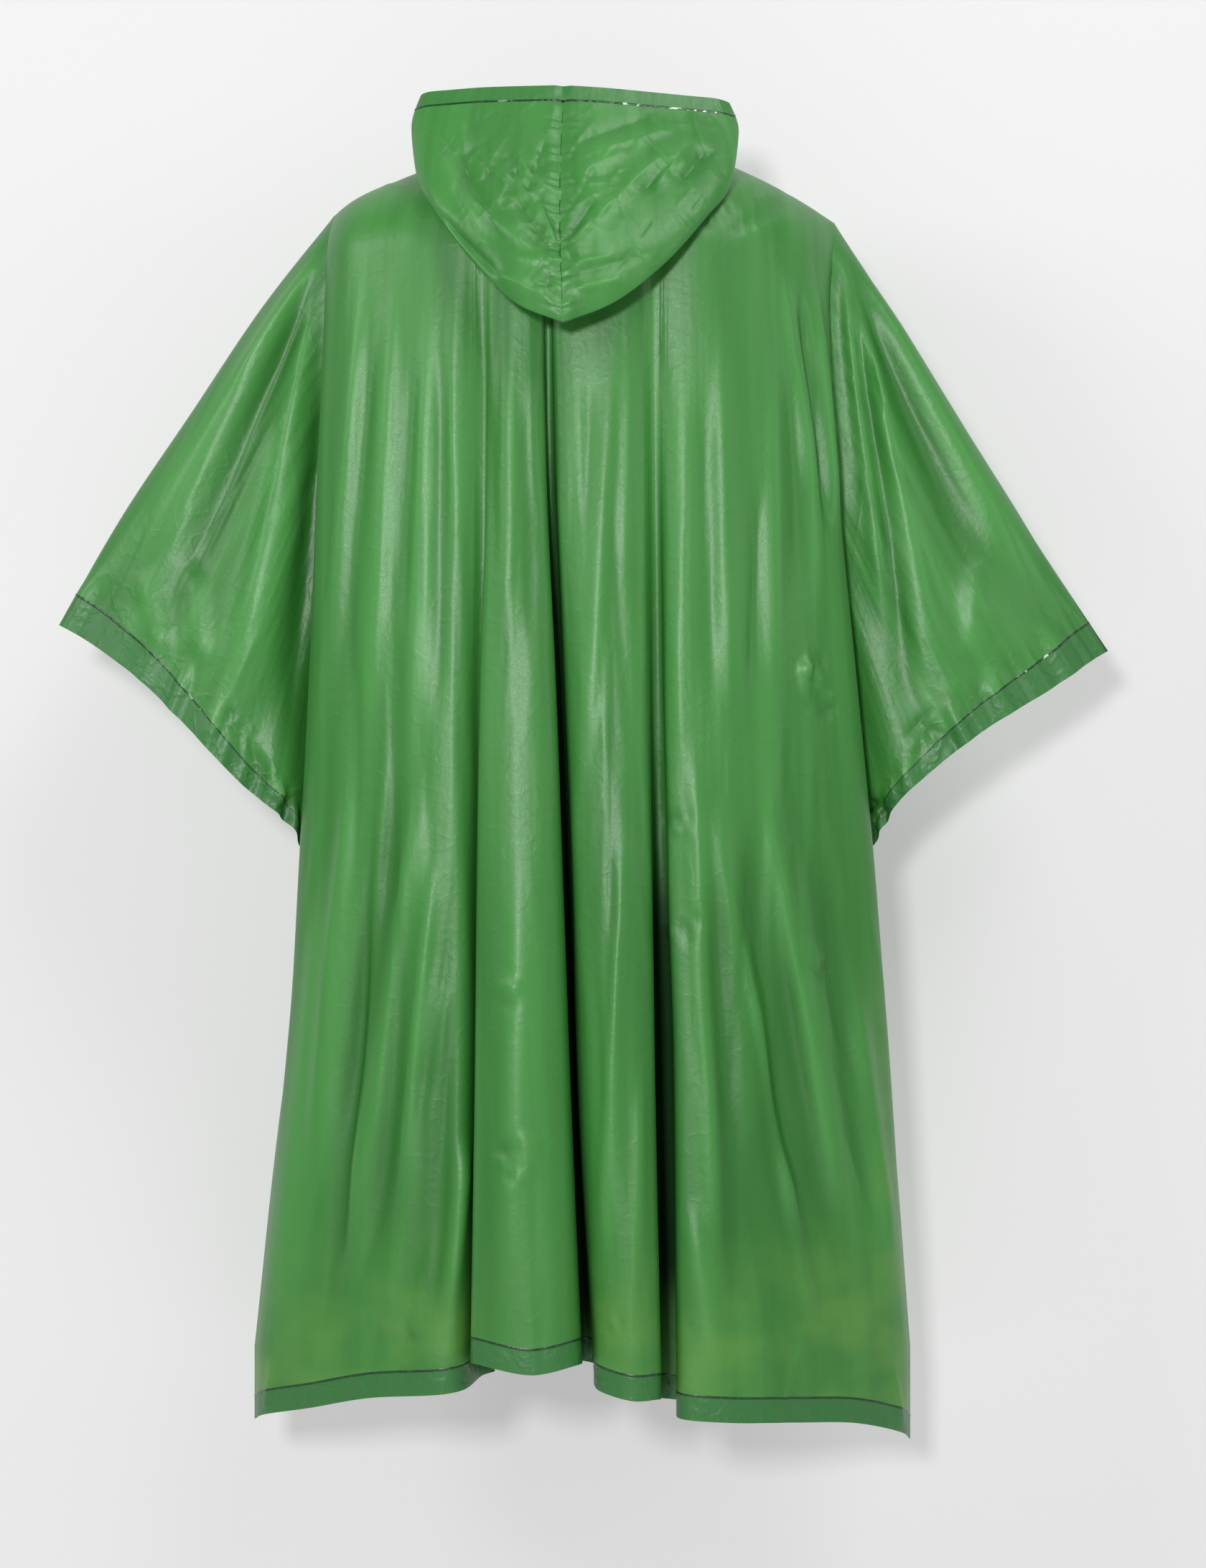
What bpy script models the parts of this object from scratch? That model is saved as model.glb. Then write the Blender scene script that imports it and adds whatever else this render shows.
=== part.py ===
"""A hooded rain poncho in thin film, hanging as it does when worn, with no wearer in it.

Frame: metres, +Z up, the wearer faces +Y, the wearer's left is -X. The origin is between the
shoulders at the base of the neck. Sizes below are in millimetres.
"""

import math

import bpy
import numpy as np
from mathutils import Vector
from mathutils.bvhtree import BVHTree

MM = 0.001
WALL = 1.2
HEM_WALL = 1.0
GAP = 0.3

# Neck and shoulders
NECK_HALF = 76.0
NAPE_DEPTH = 60.0
FRONT_NECK_DEPTH = 76.0
NECK_SIDE_Z = 12.0
NAPE_DROP = 9.0
FRONT_NECK_DROP = 82.0

# Shoulder line, a row per station: distance from the middle, height on the left, height on the right
SHOULDER_COLUMNS = ("out", "left_z", "right_z")
SHOULDER = (
    (76.0, 12.0, 12.0),
    (110.0, 3.0, 3.0),
    (145.0, -10.0, -11.0),
    (185.0, -26.0, -31.0),
    (214.0, -42.0, -48.0),
)

# Sleeves
UNDERARM_Z = -450.0
SEAM_EASE = 1.6
REST_EASE = 8.5
CUFF_HEM = 28.0
BOTTOM_HEM = 20.0
HEM_EASE = 0.6
HOOD_HEM = 14.0

# Upright fold lines of a panel, from the left side seam to the right one. Each line has the x where
# it leaves the shoulder line, then its x and its distance from the middle plane at each level, and
# the height where the bottom hem crosses it. The last column is how many strips lie between this
# line and the next.
BACK_LEVELS = (-90.0, -250.0, -450.0, -600.0, -750.0, -1000.0)
BACK_COLUMNS = ("name", "top_x", "x", "depth", "hem_z", "strips")
BACK_LINES = (
    ("seam_l", -213, (-208, -205, -212, -217, -251, -280), (36, 32, 1, 1, 1, 1), -1062, 2),
    ("edge_l", -203, (-214, -220, -229, -238, -247, -269), (50, 60, 54, 46, 36, 30), -1052, 2),
    ("left_1", -176, (-200, -204, -206, -210, -212, -226), (78, 84, 82, 78, 72, 68), -1038, 2),
    ("left_2", -130, (-150, -152, -156, -160, -165, -175), (102, 106, 106, 106, 103, 100), -1023, 2),
    ("left_3", -90, (-101, -101, -104, -106, -108, -113), (113, 116, 119, 122, 125, 128), -1014, 1),
    ("dive_edge", -76, (-89, -89, -91, -92, -93, -97), (113, 114, 115, 117, 119, 121), -1012, 2),
    ("dive_floor_a", -69, (-85, -84, -84, -83, -82, -82), (113, 112, 107, 100, 91, 70), -1010, 1),
    ("dive_floor_b", -65, (-80, -79, -77, -76, -75, -74), (113, 112, 107, 100, 91, 68), -1008, 2),
    ("centre_l", -58, (-75, -77, -83, -85, -86, -89), (115, 118, 126, 131, 136, 142), -986, 3),
    ("centre_crest", -42, (-56, -56, -54, -52, -49, -40), (120, 127, 138, 146, 153, 160), -992, 3),
    ("centre_r", -26, (-34, -32, -24, -19, -14, -4), (117, 121, 130, 136, 141, 145), -987, 2),
    ("valley_1a", -21, (-31, -30, -23, -18, -13, -2), (114, 101, 84, 76, 69, 58), -1001, 1),
    ("valley_1b", -18, (-27, -25, -16, -10, -6, 8), (114, 101, 84, 76, 69, 58), -1003, 2),
    ("middle_l", -12, (-23, -20, -12, -6, -2, 12), (115, 117, 122, 126, 129, 134), -1009, 2),
    ("middle_crest", 8, (10, 13, 20, 22, 26, 40), (117, 123, 132, 140, 146, 153), -1014, 2),
    ("middle_r", 32, (46, 48, 50, 53, 55, 60), (115, 118, 124, 130, 136, 142), -1015, 2),
    ("valley_2a", 40, (55, 56, 57, 57, 58, 63), (113, 109, 96, 86, 75, 58), -1032, 1),
    ("valley_2b", 44, (60, 61, 64, 70, 77, 80), (113, 109, 96, 86, 75, 58), -1034, 2),
    ("right_l", 54, (70, 69, 68, 70, 75, 78), (114, 114, 117, 121, 125, 130), -1033, 2),
    ("right_1", 76, (100, 101, 104, 107, 111, 118), (113, 116, 120, 124, 127, 132), -1036, 2),
    ("right_2", 124, (140, 146, 152, 157, 162, 172), (101, 106, 108, 106, 104, 104), -1042, 2),
    ("right_3", 170, (174, 184, 196, 204, 212, 224), (79, 88, 88, 82, 76, 70), -1050, 2),
    ("edge_r", 198, (201, 209, 228, 243, 254, 267), (46, 58, 54, 46, 36, 30), -1067, 2),
    ("seam_r", 213, (208, 197, 211, 224, 256, 277), (32, 32, 1, 1, 1, 1), -1079, 0),
)
FRONT_LEVELS = (-130.0, -250.0, -450.0, -600.0, -750.0, -1000.0)
FRONT_LINES = (
    ("seam_l", -213, (-206, -205, -212, -217, -251, -280), (34, 32, 1, 1, 1, 1), -1062, 2),
    ("edge_l", -203, (-215, -222, -232, -240, -248, -269), (56, 62, 56, 47, 38, 30), -1052, 2),
    ("left_1", -166, (-178, -184, -190, -195, -200, -214), (84, 92, 94, 92, 90, 86), -1044, 2),
    ("left_2", -120, (-128, -130, -134, -137, -140, -148), (102, 112, 120, 122, 122, 124), -1028, 2),
    ("valley_l", -76, (-84, -86, -88, -90, -92, -96), (108, 113, 110, 106, 100, 90), -1020, 2),
    ("middle_l", -52, (-54, -56, -56, -56, -57, -60), (113, 122, 132, 137, 141, 146), -1008, 3),
    ("middle", 0, (0, 0, 0, 0, 0, 2), (118, 127, 136, 140, 143, 147), -1004, 3),
    ("middle_r", 50, (52, 54, 54, 55, 56, 58), (113, 122, 132, 137, 141, 146), -1008, 2),
    ("valley_r", 76, (83, 84, 86, 88, 90, 94), (108, 113, 110, 106, 100, 90), -1022, 2),
    ("right_2", 120, (126, 130, 134, 138, 142, 150), (102, 112, 120, 122, 122, 124), -1032, 2),
    ("right_1", 166, (170, 180, 190, 198, 204, 216), (84, 92, 94, 92, 90, 86), -1052, 2),
    ("edge_r", 198, (201, 210, 231, 244, 254, 267), (50, 60, 56, 47, 38, 30), -1067, 2),
    ("seam_r", 213, (208, 197, 211, 224, 256, 277), (32, 32, 1, 1, 1, 1), -1079, 0),
)
SHOULDER_ROWS = 4
UPPER_ROWS = (-150.0, -215.0, -285.0, -365.0, -450.0, -525.0, -600.0, -680.0, -770.0, -860.0)
LAST_ROWS = (0.5, 1.0)

# Sleeve edges, a row per station from the shoulder (0) to the cuff (1): the fold along the top of
# the arm, and the seam under it
ARM_COLUMNS = ("along", "top_left", "top_right")
ARM_TOP = (
    (0.0, (-214.5, -42.5), (214.5, -48.5)),
    (0.25, (-275.0, -120.0), (268.0, -134.0)),
    (0.5, (-334.0, -208.0), (328.0, -230.0)),
    (0.75, (-391.0, -293.0), (386.0, -321.0)),
    (1.0, (-446.0, -388.0), (445.0, -410.0)),
)
# Lower edge of the sleeve under the arm, a row per station: x left, x right, height
UNDER_COLUMNS = ("along", "left_x", "right_x", "z")
UNDER = (
    (0.0, -218.5, 218.5, -452.0),
    (0.5, -226.0, 226.0, -530.0),
    (1.0, -230.0, 234.0, -603.0),
)
# Cuff edge from the tip (0) to the underarm seam (1), a row per station: x and z on each side, and
# how far the back sheet and the front sheet stand off the middle plane
CUFF_COLUMNS = ("round", "left", "right", "back_off", "front_off")
CUFF = (
    (0.0, (-446.0, -388.0), (445.0, -410.0), 0.0, 0.0),
    (0.03, (-436.0, -393.0), (436.0, -415.0), 7.0, 7.0),
    (0.2, (-381.0, -429.0), (388.0, -446.0), 24.0, 30.0),
    (0.4, (-330.0, -477.0), (341.0, -474.0), 34.0, 44.0),
    (0.6, (-285.0, -524.0), (298.0, -506.0), 38.0, 48.0),
    (0.8, (-245.0, -560.0), (255.0, -549.0), 30.0, 38.0),
    (0.95, (-232.0, -594.0), (238.0, -590.0), 10.0, 11.0),
    (1.0, (-230.0, -603.0), (234.0, -603.0), 1.0, 1.0),
)
RING_STOPS = (0.0, 0.03, 0.117, 0.265, 0.34, 0.424, 0.51, 0.596, 0.69, 0.792, 0.9, 1.0)
SLEEVE_ROWS = (0.0, 0.15, 0.3, 0.45, 0.6, 0.75, 0.9)
# Soft folds along the sleeve that fan out from the shoulder: place round, height, half width
SLEEVE_FOLD_COLUMNS = ("round", "height", "half")
SLEEVE_FOLDS = (
    (0.22, 7.0, 0.09),
    (0.45, 10.0, 0.12),
    (0.7, 6.0, 0.08),
)

# Hood stations round the neck, from the centre seam at the back (0) to the front of the neck (4):
# the face edge, the outer fold line of the bag, how far the outer layer swells, how round the fold
# is, and how far round the neck the seam lies, in degrees. Left and right differ a little.
HOOD_COLUMNS = ("station", "face", "fold", "bulge", "slack", "turn")
HOOD_LEFT = (
    (0.0, (-17.0, -80.0, 51.0), (-16.0, -166.0, -158.0), 20.0, 34.0, 0.0),
    (0.5, (-48.0, -79.0, 50.5), (-51.0, -159.0, -143.0), 19.0, 32.0, 16.0),
    (1.0, (-80.0, -77.0, 50.0), (-88.0, -145.0, -105.0), 16.0, 27.0, 34.0),
    (1.5, (-110.0, -74.0, 48.5), (-119.0, -124.0, -62.0), 12.0, 20.0, 54.0),
    (1.8, (-128.0, -71.0, 47.5), (-134.0, -100.0, -34.0), 9.0, 14.0, 66.0),
    (2.1, (-135.0, -62.0, 46.0), (-140.0, -66.0, 12.0), 4.0, 10.0, 78.0),
    (2.6, (-127.0, -20.0, 42.0), (-134.0, -18.0, 14.0), 0.0, 8.0, 100.0),
    (3.1, (-98.0, 45.0, 26.0), (-104.0, 48.0, -4.0), 0.0, 8.0, 128.0),
    (3.6, (-46.0, 87.0, -22.0), (-50.0, 96.0, -48.0), 0.0, 7.0, 156.0),
    (4.0, (-0.3, 96.0, -42.0), (-0.3, 104.0, -64.0), 0.0, 6.0, 180.0),
)
HOOD_RIGHT = (
    (0.0, (-16.6, -80.0, 51.0), (-15.6, -166.0, -158.0), 20.0, 34.0, 0.0),
    (0.5, (18.0, -79.0, 49.0), (21.0, -159.0, -143.0), 19.0, 32.0, 16.0),
    (1.0, (55.0, -77.0, 46.0), (63.0, -146.0, -110.0), 16.0, 27.0, 34.0),
    (1.5, (88.0, -74.0, 43.5), (100.0, -125.0, -66.0), 12.0, 20.0, 54.0),
    (1.8, (110.0, -71.0, 42.0), (120.0, -102.0, -36.0), 9.0, 14.0, 66.0),
    (2.1, (121.0, -62.0, 40.0), (126.0, -66.0, 10.0), 4.0, 10.0, 78.0),
    (2.6, (119.0, -20.0, 40.0), (126.0, -18.0, 14.0), 0.0, 8.0, 100.0),
    (3.1, (97.0, 45.0, 26.0), (104.0, 48.0, -4.0), 0.0, 8.0, 128.0),
    (3.6, (46.0, 87.0, -22.0), (51.0, 97.0, -48.0), 0.0, 7.0, 156.0),
    (4.0, (0.3, 96.0, -42.0), (0.3, 104.0, -64.0), 0.0, 6.0, 180.0),
)
HOOD_STATIONS = (0.0, 0.33, 0.66, 1.0, 1.33, 1.66, 1.9, 2.1, 2.4, 2.7, 2.95, 3.2, 3.6, 4.0)
HOOD_OUTER_STEPS = 7
HOOD_INNER_STEPS = 6

# Colours: the film, and the welded hems, which are two layers thick and darker
FILM = (0.075, 0.27, 0.075, 1.0)
FILM_HEM = (0.05, 0.21, 0.06, 1.0)


def clear_scene():
    for old in list(bpy.data.objects):
        bpy.data.objects.remove(old, do_unlink=True)


def through(knots, values, at):
    """A smooth curve through values at knots, which never overshoots them."""
    k = np.asarray(knots, float)
    v = np.asarray(values, float)
    if k[0] > k[-1]:
        k, v = k[::-1], v[::-1]
    at = min(max(at, k[0]), k[-1])
    i = min(int(np.searchsorted(k, at, side="right")) - 1, len(k) - 2)
    slope = (v[1:] - v[:-1]) / (k[1:] - k[:-1])
    ends = []
    for j in (i, i + 1):
        if j in (0, len(k) - 1):
            ends.append(slope[min(j, len(slope) - 1)])
        elif slope[j - 1] * slope[j] <= 0:
            ends.append(0.0)
        else:
            ends.append(2 * slope[j - 1] * slope[j] / (slope[j - 1] + slope[j]))
    width = k[i + 1] - k[i]
    t = (at - k[i]) / width
    a = 2 * t**3 - 3 * t**2 + 1
    b = t**3 - 2 * t**2 + t
    c = -2 * t**3 + 3 * t**2
    d = t**3 - t**2
    return float(a * v[i] + b * width * ends[0] + c * v[i + 1] + d * width * ends[1])


def through_points(knots, points, at):
    points = np.asarray(points, float)
    return np.array([through(knots, points[:, i], at) for i in range(points.shape[1])])


def across(points, strips):
    """Points on a rounded curve through a row of points, with some strips between each pair."""
    p = np.asarray(points, float)
    out = []
    last = len(p) - 1
    for i in range(last):
        before = p[i - 1] if i else 2 * p[0] - p[1]
        after = p[i + 2] if i + 2 <= last else 2 * p[last] - p[last - 1]
        d0 = max(np.linalg.norm(p[i] - before), 1e-6) ** 0.5
        d1 = max(np.linalg.norm(p[i + 1] - p[i]), 1e-6) ** 0.5
        d2 = max(np.linalg.norm(after - p[i + 1]), 1e-6) ** 0.5
        m0 = (p[i] - before) / d0 - (p[i + 1] - before) / (d0 + d1) + (p[i + 1] - p[i]) / d1
        m1 = (p[i + 1] - p[i]) / d1 - (after - p[i]) / (d1 + d2) + (after - p[i + 1]) / d2
        m0, m1 = m0 * d1, m1 * d1
        for j in range(strips[i]):
            t = j / strips[i]
            a = 2 * t**3 - 3 * t**2 + 1
            b = t**3 - 2 * t**2 + t
            c = -2 * t**3 + 3 * t**2
            d = t**3 - t**2
            out.append(a * p[i] + b * m0 + c * p[i + 1] + d * m1)
    out.append(p[last])
    return np.array(out)


def between(values, strips):
    """Each value and the even steps between it and the next."""
    out = []
    for i in range(len(values) - 1):
        out += [values[i] + (values[i + 1] - values[i]) * j / strips[i] for j in range(strips[i])]
    return out + [values[-1]]


def shoulder_z(x):
    out = [row[0] for row in SHOULDER]
    heights = [row[1 if x < 0 else 2] for row in SHOULDER]
    return through(out, heights, abs(x))


def top_edge(x, face):
    """The upper edge of a panel: the shoulder fold, and the neckline between its ends."""
    if abs(x) >= NECK_HALF:
        return np.array([x, face * GAP / 2, shoulder_z(x)])
    round_it = math.sqrt(1 - (x / NECK_HALF) ** 2)
    if face < 0:
        return np.array([x, -NAPE_DEPTH * round_it - GAP / 2, NECK_SIDE_Z - NAPE_DROP * round_it])
    depth = FRONT_NECK_DEPTH * round_it + GAP / 2
    return np.array([x, depth, NECK_SIDE_Z - FRONT_NECK_DROP * round_it**1.6])


def over_shoulder(top, below, turn):
    """A point on the quarter turn from the top edge of a panel down to its first level."""
    swing, drop = math.sin(turn * math.pi / 2), math.cos(turn * math.pi / 2)
    x = top[0] + (below[0] - top[0]) * swing**1.5
    return np.array([x, top[1] + (below[1] - top[1]) * swing, below[2] + (top[2] - below[2]) * drop])


def line_at(line, levels, z, face):
    return np.array([through(levels, line[2], z), face * through(levels, line[3], z), z])


def panel_grid(lines, levels, face):
    """Rows of points over a panel, from its top edge down to the bottom hem."""
    strips = [line[5] for line in lines[:-1]]
    tops = [top_edge(x, face) for x in between([line[1] for line in lines], strips)]
    first = across([line_at(line, levels, levels[0], face) for line in lines], strips)
    rows = []
    for i in range(SHOULDER_ROWS + 1):
        turn = i / SHOULDER_ROWS
        rows.append([over_shoulder(t, b, turn) for t, b in zip(tops, first)])
    for z in [z for z in UPPER_ROWS if z < levels[0] - 15]:
        rows.append(across([line_at(line, levels, z, face) for line in lines], strips))
    start = UPPER_ROWS[-1]
    for share in LAST_ROWS:
        points = []
        for line in lines:
            fold = line[4] + BOTTOM_HEM
            points.append(line_at(line, levels, start + (fold - start) * share, face))
        rows.append(across(points, strips))
    rows.append(across([line_at(line, levels, line[4], face) for line in lines], strips))
    return np.array(rows, float)


def armhole(side, face, share):
    """The edge of the panels beside the sleeve, from the shoulder (0) to under the arm (1)."""
    lines, levels = (BACK_LINES, BACK_LEVELS) if face < 0 else (FRONT_LINES, FRONT_LEVELS)
    line = lines[0] if side < 0 else lines[-1]
    top = top_edge(line[1], face)
    z = top[2] + (UNDERARM_Z - top[2]) * share
    if z >= levels[0]:
        below = line_at(line, levels, levels[0], face)
        drop = (z - below[2]) / (top[2] - below[2])
        point = over_shoulder(top, below, math.acos(min(max(drop, 0.0), 1.0)) * 2 / math.pi)
    else:
        point = line_at(line, levels, z, face)
    out = 1.5 * max(0.0, 1 - share / 0.12) + 6.0 * max(0.0, share - 0.4)
    inward = (WALL + GAP + SEAM_EASE) * min(1.0, share / 0.08)
    y = face * max(face * point[1] - inward, 0.5 * min(1.0, share * 20))
    return np.array([point[0] + side * (out + 1.2 * share), y, point[2] - 2.0 * share])


def arm_top(side, along):
    points = [row[1 if side < 0 else 2] for row in ARM_TOP]
    x, z = through_points([row[0] for row in ARM_TOP], points, along)
    return np.array([x, 0.0, z])


def under_arm(side, along):
    points = [(row[1 if side < 0 else 2], row[3]) for row in UNDER]
    x, z = through_points([row[0] for row in UNDER], points, along)
    return np.array([x, 0.0, z])


def cuff(side, face, share):
    points = [(*row[1 if side < 0 else 2], row[3 if face < 0 else 4]) for row in CUFF]
    x, z, off = through_points([row[0] for row in CUFF], points, share)
    return np.array([x, face * off, z])


def sleeve_point(side, face, along, share):
    """A point on one sheet of a sleeve, from the armhole (along 0) to the cuff (along 1)."""
    near, far = armhole(side, face, share), cuff(side, face, share)
    top, under = arm_top(side, along), under_arm(side, along)
    corners = (
        (1 - along) * (1 - share) * armhole(side, face, 0.0)
        + along * (1 - share) * cuff(side, face, 0.0)
        + (1 - along) * share * armhole(side, face, 1.0)
        + along * share * cuff(side, face, 1.0)
    )
    point = (1 - along) * near + along * far + (1 - share) * top + share * under - corners
    fold = sum(h * math.exp(-(((share - at) / half) ** 2)) for at, h, half in SLEEVE_FOLDS)
    point[1] += face * fold * math.sin(math.pi * min(along / 1.6, 1.0)) * min(1.0, along * 4)
    return point


def sleeve_grid(side, stops):
    rows = []
    for along in stops:
        back = [sleeve_point(side, -1, along, share) for share in RING_STOPS]
        front = [sleeve_point(side, 1, along, share) for share in RING_STOPS[-2:0:-1]]
        for ring in (back, front):
            for p in ring:
                if abs(p[1]) < 0.01:
                    p[1] = 0.0
        rows.append(back + front)
    return np.array(rows, float)


def neck_seam(degrees, side):
    """The hood's neck seam, on top of the panels' neckline, from the nape (0) to the front (180)."""
    turn = math.radians(degrees)
    x = NECK_HALF * math.sin(turn)
    back = math.cos(turn) > 0
    depth = -NAPE_DEPTH * math.cos(turn) if back else -FRONT_NECK_DEPTH * math.cos(turn)
    drop = NAPE_DROP * math.cos(turn) if back else FRONT_NECK_DROP * abs(math.cos(turn)) ** 1.6
    lean = 17.0 * max(0.0, math.cos(turn)) ** 3
    x = side * max(x, 0.3) - lean
    return np.array([x, depth * 0.99, NECK_SIDE_Z - drop + WALL + GAP + 3.0])


def hood_rows(table, side, stations):
    """Columns of the hood: from the face edge down the outside to the fold line and up to the neck."""
    columns = []
    for station in stations:
        keys = [row[0] for row in table]
        face = through_points(keys, [row[1] for row in table], station)
        fold = through_points(keys, [row[2] for row in table], station)
        bulge = through(keys, [row[3] for row in table], station)
        slack = through(keys, [row[4] for row in table], station)
        neck = neck_seam(through(keys, [row[5] for row in table], station), side)
        outward = np.array([neck[0], neck[1], 0.0])
        outward /= max(np.linalg.norm(outward), 1e-6)
        turn = -outward
        drop = face[2] - fold[2]
        a = face + np.array([0, 0, -0.3 * drop]) + outward * bulge
        b = fold - turn * (0.55 * slack) + np.array([0, 0, 0.25 * drop])
        first = hermite_line(face, a, b, fold, HOOD_OUTER_STEPS, HOOD_HEM)
        reach = np.linalg.norm((neck - fold)[:2])
        c = fold + turn * (0.9 * slack) + np.array([0, 0, -0.02 * drop])
        d = neck + outward * (0.62 * reach) + np.array([0, 0, 9.0])
        second = hermite_line(fold, c, d, neck, HOOD_INNER_STEPS, None)
        columns.append(np.vstack([first, second[1:]]))
    return np.ascontiguousarray(np.transpose(np.array(columns), (1, 0, 2)))


def hermite_line(p0, p1, p2, p3, steps, hem):
    """Points on a cubic curve, the first of them one hem's width from its start if hem is given."""
    fine = []
    for i in range(201):
        t = i / 200
        s = 1 - t
        fine.append(s**3 * p0 + 3 * s * s * t * p1 + 3 * s * t * t * p2 + t**3 * p3)
    fine = np.array(fine)
    run = np.concatenate([[0.0], np.cumsum(np.linalg.norm(fine[1:] - fine[:-1], axis=1))])
    if hem is None:
        stops = [run[-1] * i / steps for i in range(steps + 1)]
    else:
        edge = min(hem, 0.35 * run[-1])
        stops = [0.0] + [edge + (run[-1] - edge) * i / (steps - 1) for i in range(steps)]
    return np.array([[np.interp(s, run, fine[:, i]) for i in range(3)] for s in stops])


def unit(vectors):
    return vectors / np.maximum(np.linalg.norm(vectors, axis=-1, keepdims=True), 1e-9)


def normals_of(grid, ring):
    """Normals at the points of a grid, longer at a bend so that walls moved out by them keep their gap.

    A ring grid joins its last column to its first.
    """
    down = unit(np.gradient(grid, axis=0))
    if ring:
        wide = np.concatenate([grid[:, -1:], grid, grid[:, :1]], axis=1)
    else:
        wide = np.concatenate([2 * grid[:, :1] - grid[:, 1:2], grid], axis=1)
        wide = np.concatenate([wide, 2 * grid[:, -1:] - grid[:, -2:-1]], axis=1)
    before, after = unit(wide[:, 1:-1] - wide[:, :-2]), unit(wide[:, 2:] - wide[:, 1:-1])
    n = unit(np.cross(down, before + after))
    half = np.linalg.norm(before + after, axis=2, keepdims=True) / 2
    return n / np.clip(half, 0.4, 1.0)


def rest_on(grid, panels, clear):
    """Moves the points of a grid out until each is clear of the panels under it."""
    for panel, outward in panels:
        rows, columns = panel.shape[:2]
        points = [Vector(p) for p in panel.reshape(-1, 3)]
        faces = []
        for r in range(rows - 1):
            for c in range(columns - 1):
                quad = (r * columns + c, (r + 1) * columns + c)
                quad += ((r + 1) * columns + c + 1, r * columns + c + 1)
                faces.append(quad if outward > 0 else quad[::-1])
        tree = BVHTree.FromPolygons(points, faces)
        for point in grid.reshape(-1, 3):
            near, normal, _, distance = tree.find_nearest(Vector(point))
            height = (Vector(point) - near).dot(normal)
            if distance < 60 and height < clear:
                point += np.array(normal) * (clear - height)
    return grid


def add_sheet(name, grid, ring, flip, wall, outward, material, collection):
    """An open sheet through a grid of points, made into a wall by Solidify."""
    rows, columns = grid.shape[:2]
    mesh = bpy.data.meshes.new(name)
    points = [Vector(p) * MM for p in grid.reshape(-1, 3)]
    faces = []
    for r in range(rows - 1):
        for c in range(columns if ring else columns - 1):
            d = (c + 1) % columns
            quad = (r * columns + c, (r + 1) * columns + c, (r + 1) * columns + d, r * columns + d)
            faces.append(quad[::-1] if flip else quad)
    mesh.from_pydata(points, [], faces)
    mesh.materials.append(material)
    for face in mesh.polygons:
        face.use_smooth = True
    thing = bpy.data.objects.new(name, mesh)
    collection.objects.link(thing)
    solidify = thing.modifiers.new("wall", "SOLIDIFY")
    solidify.thickness = wall * MM
    solidify.offset = 1.0 if outward else -1.0
    solidify.use_rim = True
    solidify.use_even_offset = False
    return thing


def film(name, colour, rough):
    material = bpy.data.materials.new(name)
    material.use_nodes = True
    shader = material.node_tree.nodes["Principled BSDF"]
    shader.inputs["Base Color"].default_value = colour
    shader.inputs["Roughness"].default_value = rough
    return material


def add_panel(name, hem_name, lines, levels, face, collection):
    grid = panel_grid(lines, levels, face)
    flip = face > 0
    add_sheet(name, grid, False, flip, WALL, True, film(name, FILM, 0.35), collection)
    inward = normals_of(grid, False) * (1 if flip else -1)
    hem = (grid + inward * GAP)[-2:]
    colour = film(hem_name, FILM_HEM, 0.3)
    add_sheet(hem_name, hem, False, flip, HEM_WALL, False, colour, collection)


def add_sleeve(name, cuff_name, side, collection):
    length = np.linalg.norm(arm_top(side, 1.0) - arm_top(side, 0.0))
    stops = list(SLEEVE_ROWS) + [1 - CUFF_HEM / length, 1.0]
    stops = sorted(s for s in stops if s <= 0.9 or s >= 1 - CUFF_HEM / length)
    grid = sleeve_grid(side, stops)
    flip = side > 0
    add_sheet(name, grid, True, flip, WALL, True, film(name, FILM, 0.35), collection)
    inward = normals_of(grid, True) * (1 if flip else -1)
    hem = (grid + inward * (GAP + 0.2))[-2:]
    colour = film(cuff_name, FILM_HEM, 0.3)
    add_sheet(cuff_name, hem, True, flip, HEM_WALL, False, colour, collection)


def add_hood(collection):
    back = (panel_grid(BACK_LINES, BACK_LEVELS, -1), 1)
    front = (panel_grid(FRONT_LINES, FRONT_LEVELS, 1), -1)
    clear = 2 * WALL + REST_EASE
    left = rest_on(hood_rows(HOOD_LEFT, -1, HOOD_STATIONS), (back, front, back, front), clear)
    right = rest_on(hood_rows(HOOD_RIGHT, 1, HOOD_STATIONS), (back, front, back, front), clear)
    left[:, -1, 0] = -1.5 * GAP
    right[:, -1, 0] = 1.5 * GAP
    add_sheet("hood_left", left, False, True, WALL, True, film("hood_left", FILM, 0.35), collection)
    colour = film("hood_right", FILM, 0.35)
    add_sheet("hood_right", right, False, False, WALL, True, colour, collection)
    edge_left = (left[:2] + normals_of(left[:2], False) * (GAP + HEM_EASE))[:, ::-1]
    edge_right = (right[:2] - normals_of(right[:2], False) * (GAP + HEM_EASE))[:, 1:]
    strip = np.concatenate([edge_left, edge_right], axis=1)
    colour = film("hood_hem", FILM_HEM, 0.3)
    add_sheet("hood_hem", strip, False, False, HEM_WALL, False, colour, collection)


def main():
    clear_scene()
    collection = bpy.data.collections.new("rain_poncho")
    bpy.context.scene.collection.children.link(collection)
    add_panel("back", "hem_back", BACK_LINES, BACK_LEVELS, -1, collection)
    add_panel("front", "hem_front", FRONT_LINES, FRONT_LEVELS, 1, collection)
    add_sleeve("sleeve_left", "cuff_left", -1, collection)
    add_sleeve("sleeve_right", "cuff_right", 1, collection)
    add_hood(collection)


main()
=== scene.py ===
"""The looks of a hooded rain poncho in thin green film, worn with the hood down.

Every surface is worked out again from the cut and the sections that the CAD part was made from, on a
finer grid, with the creases of the film laid on it. Sizes are in millimetres until a mesh is made.
"""

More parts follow.
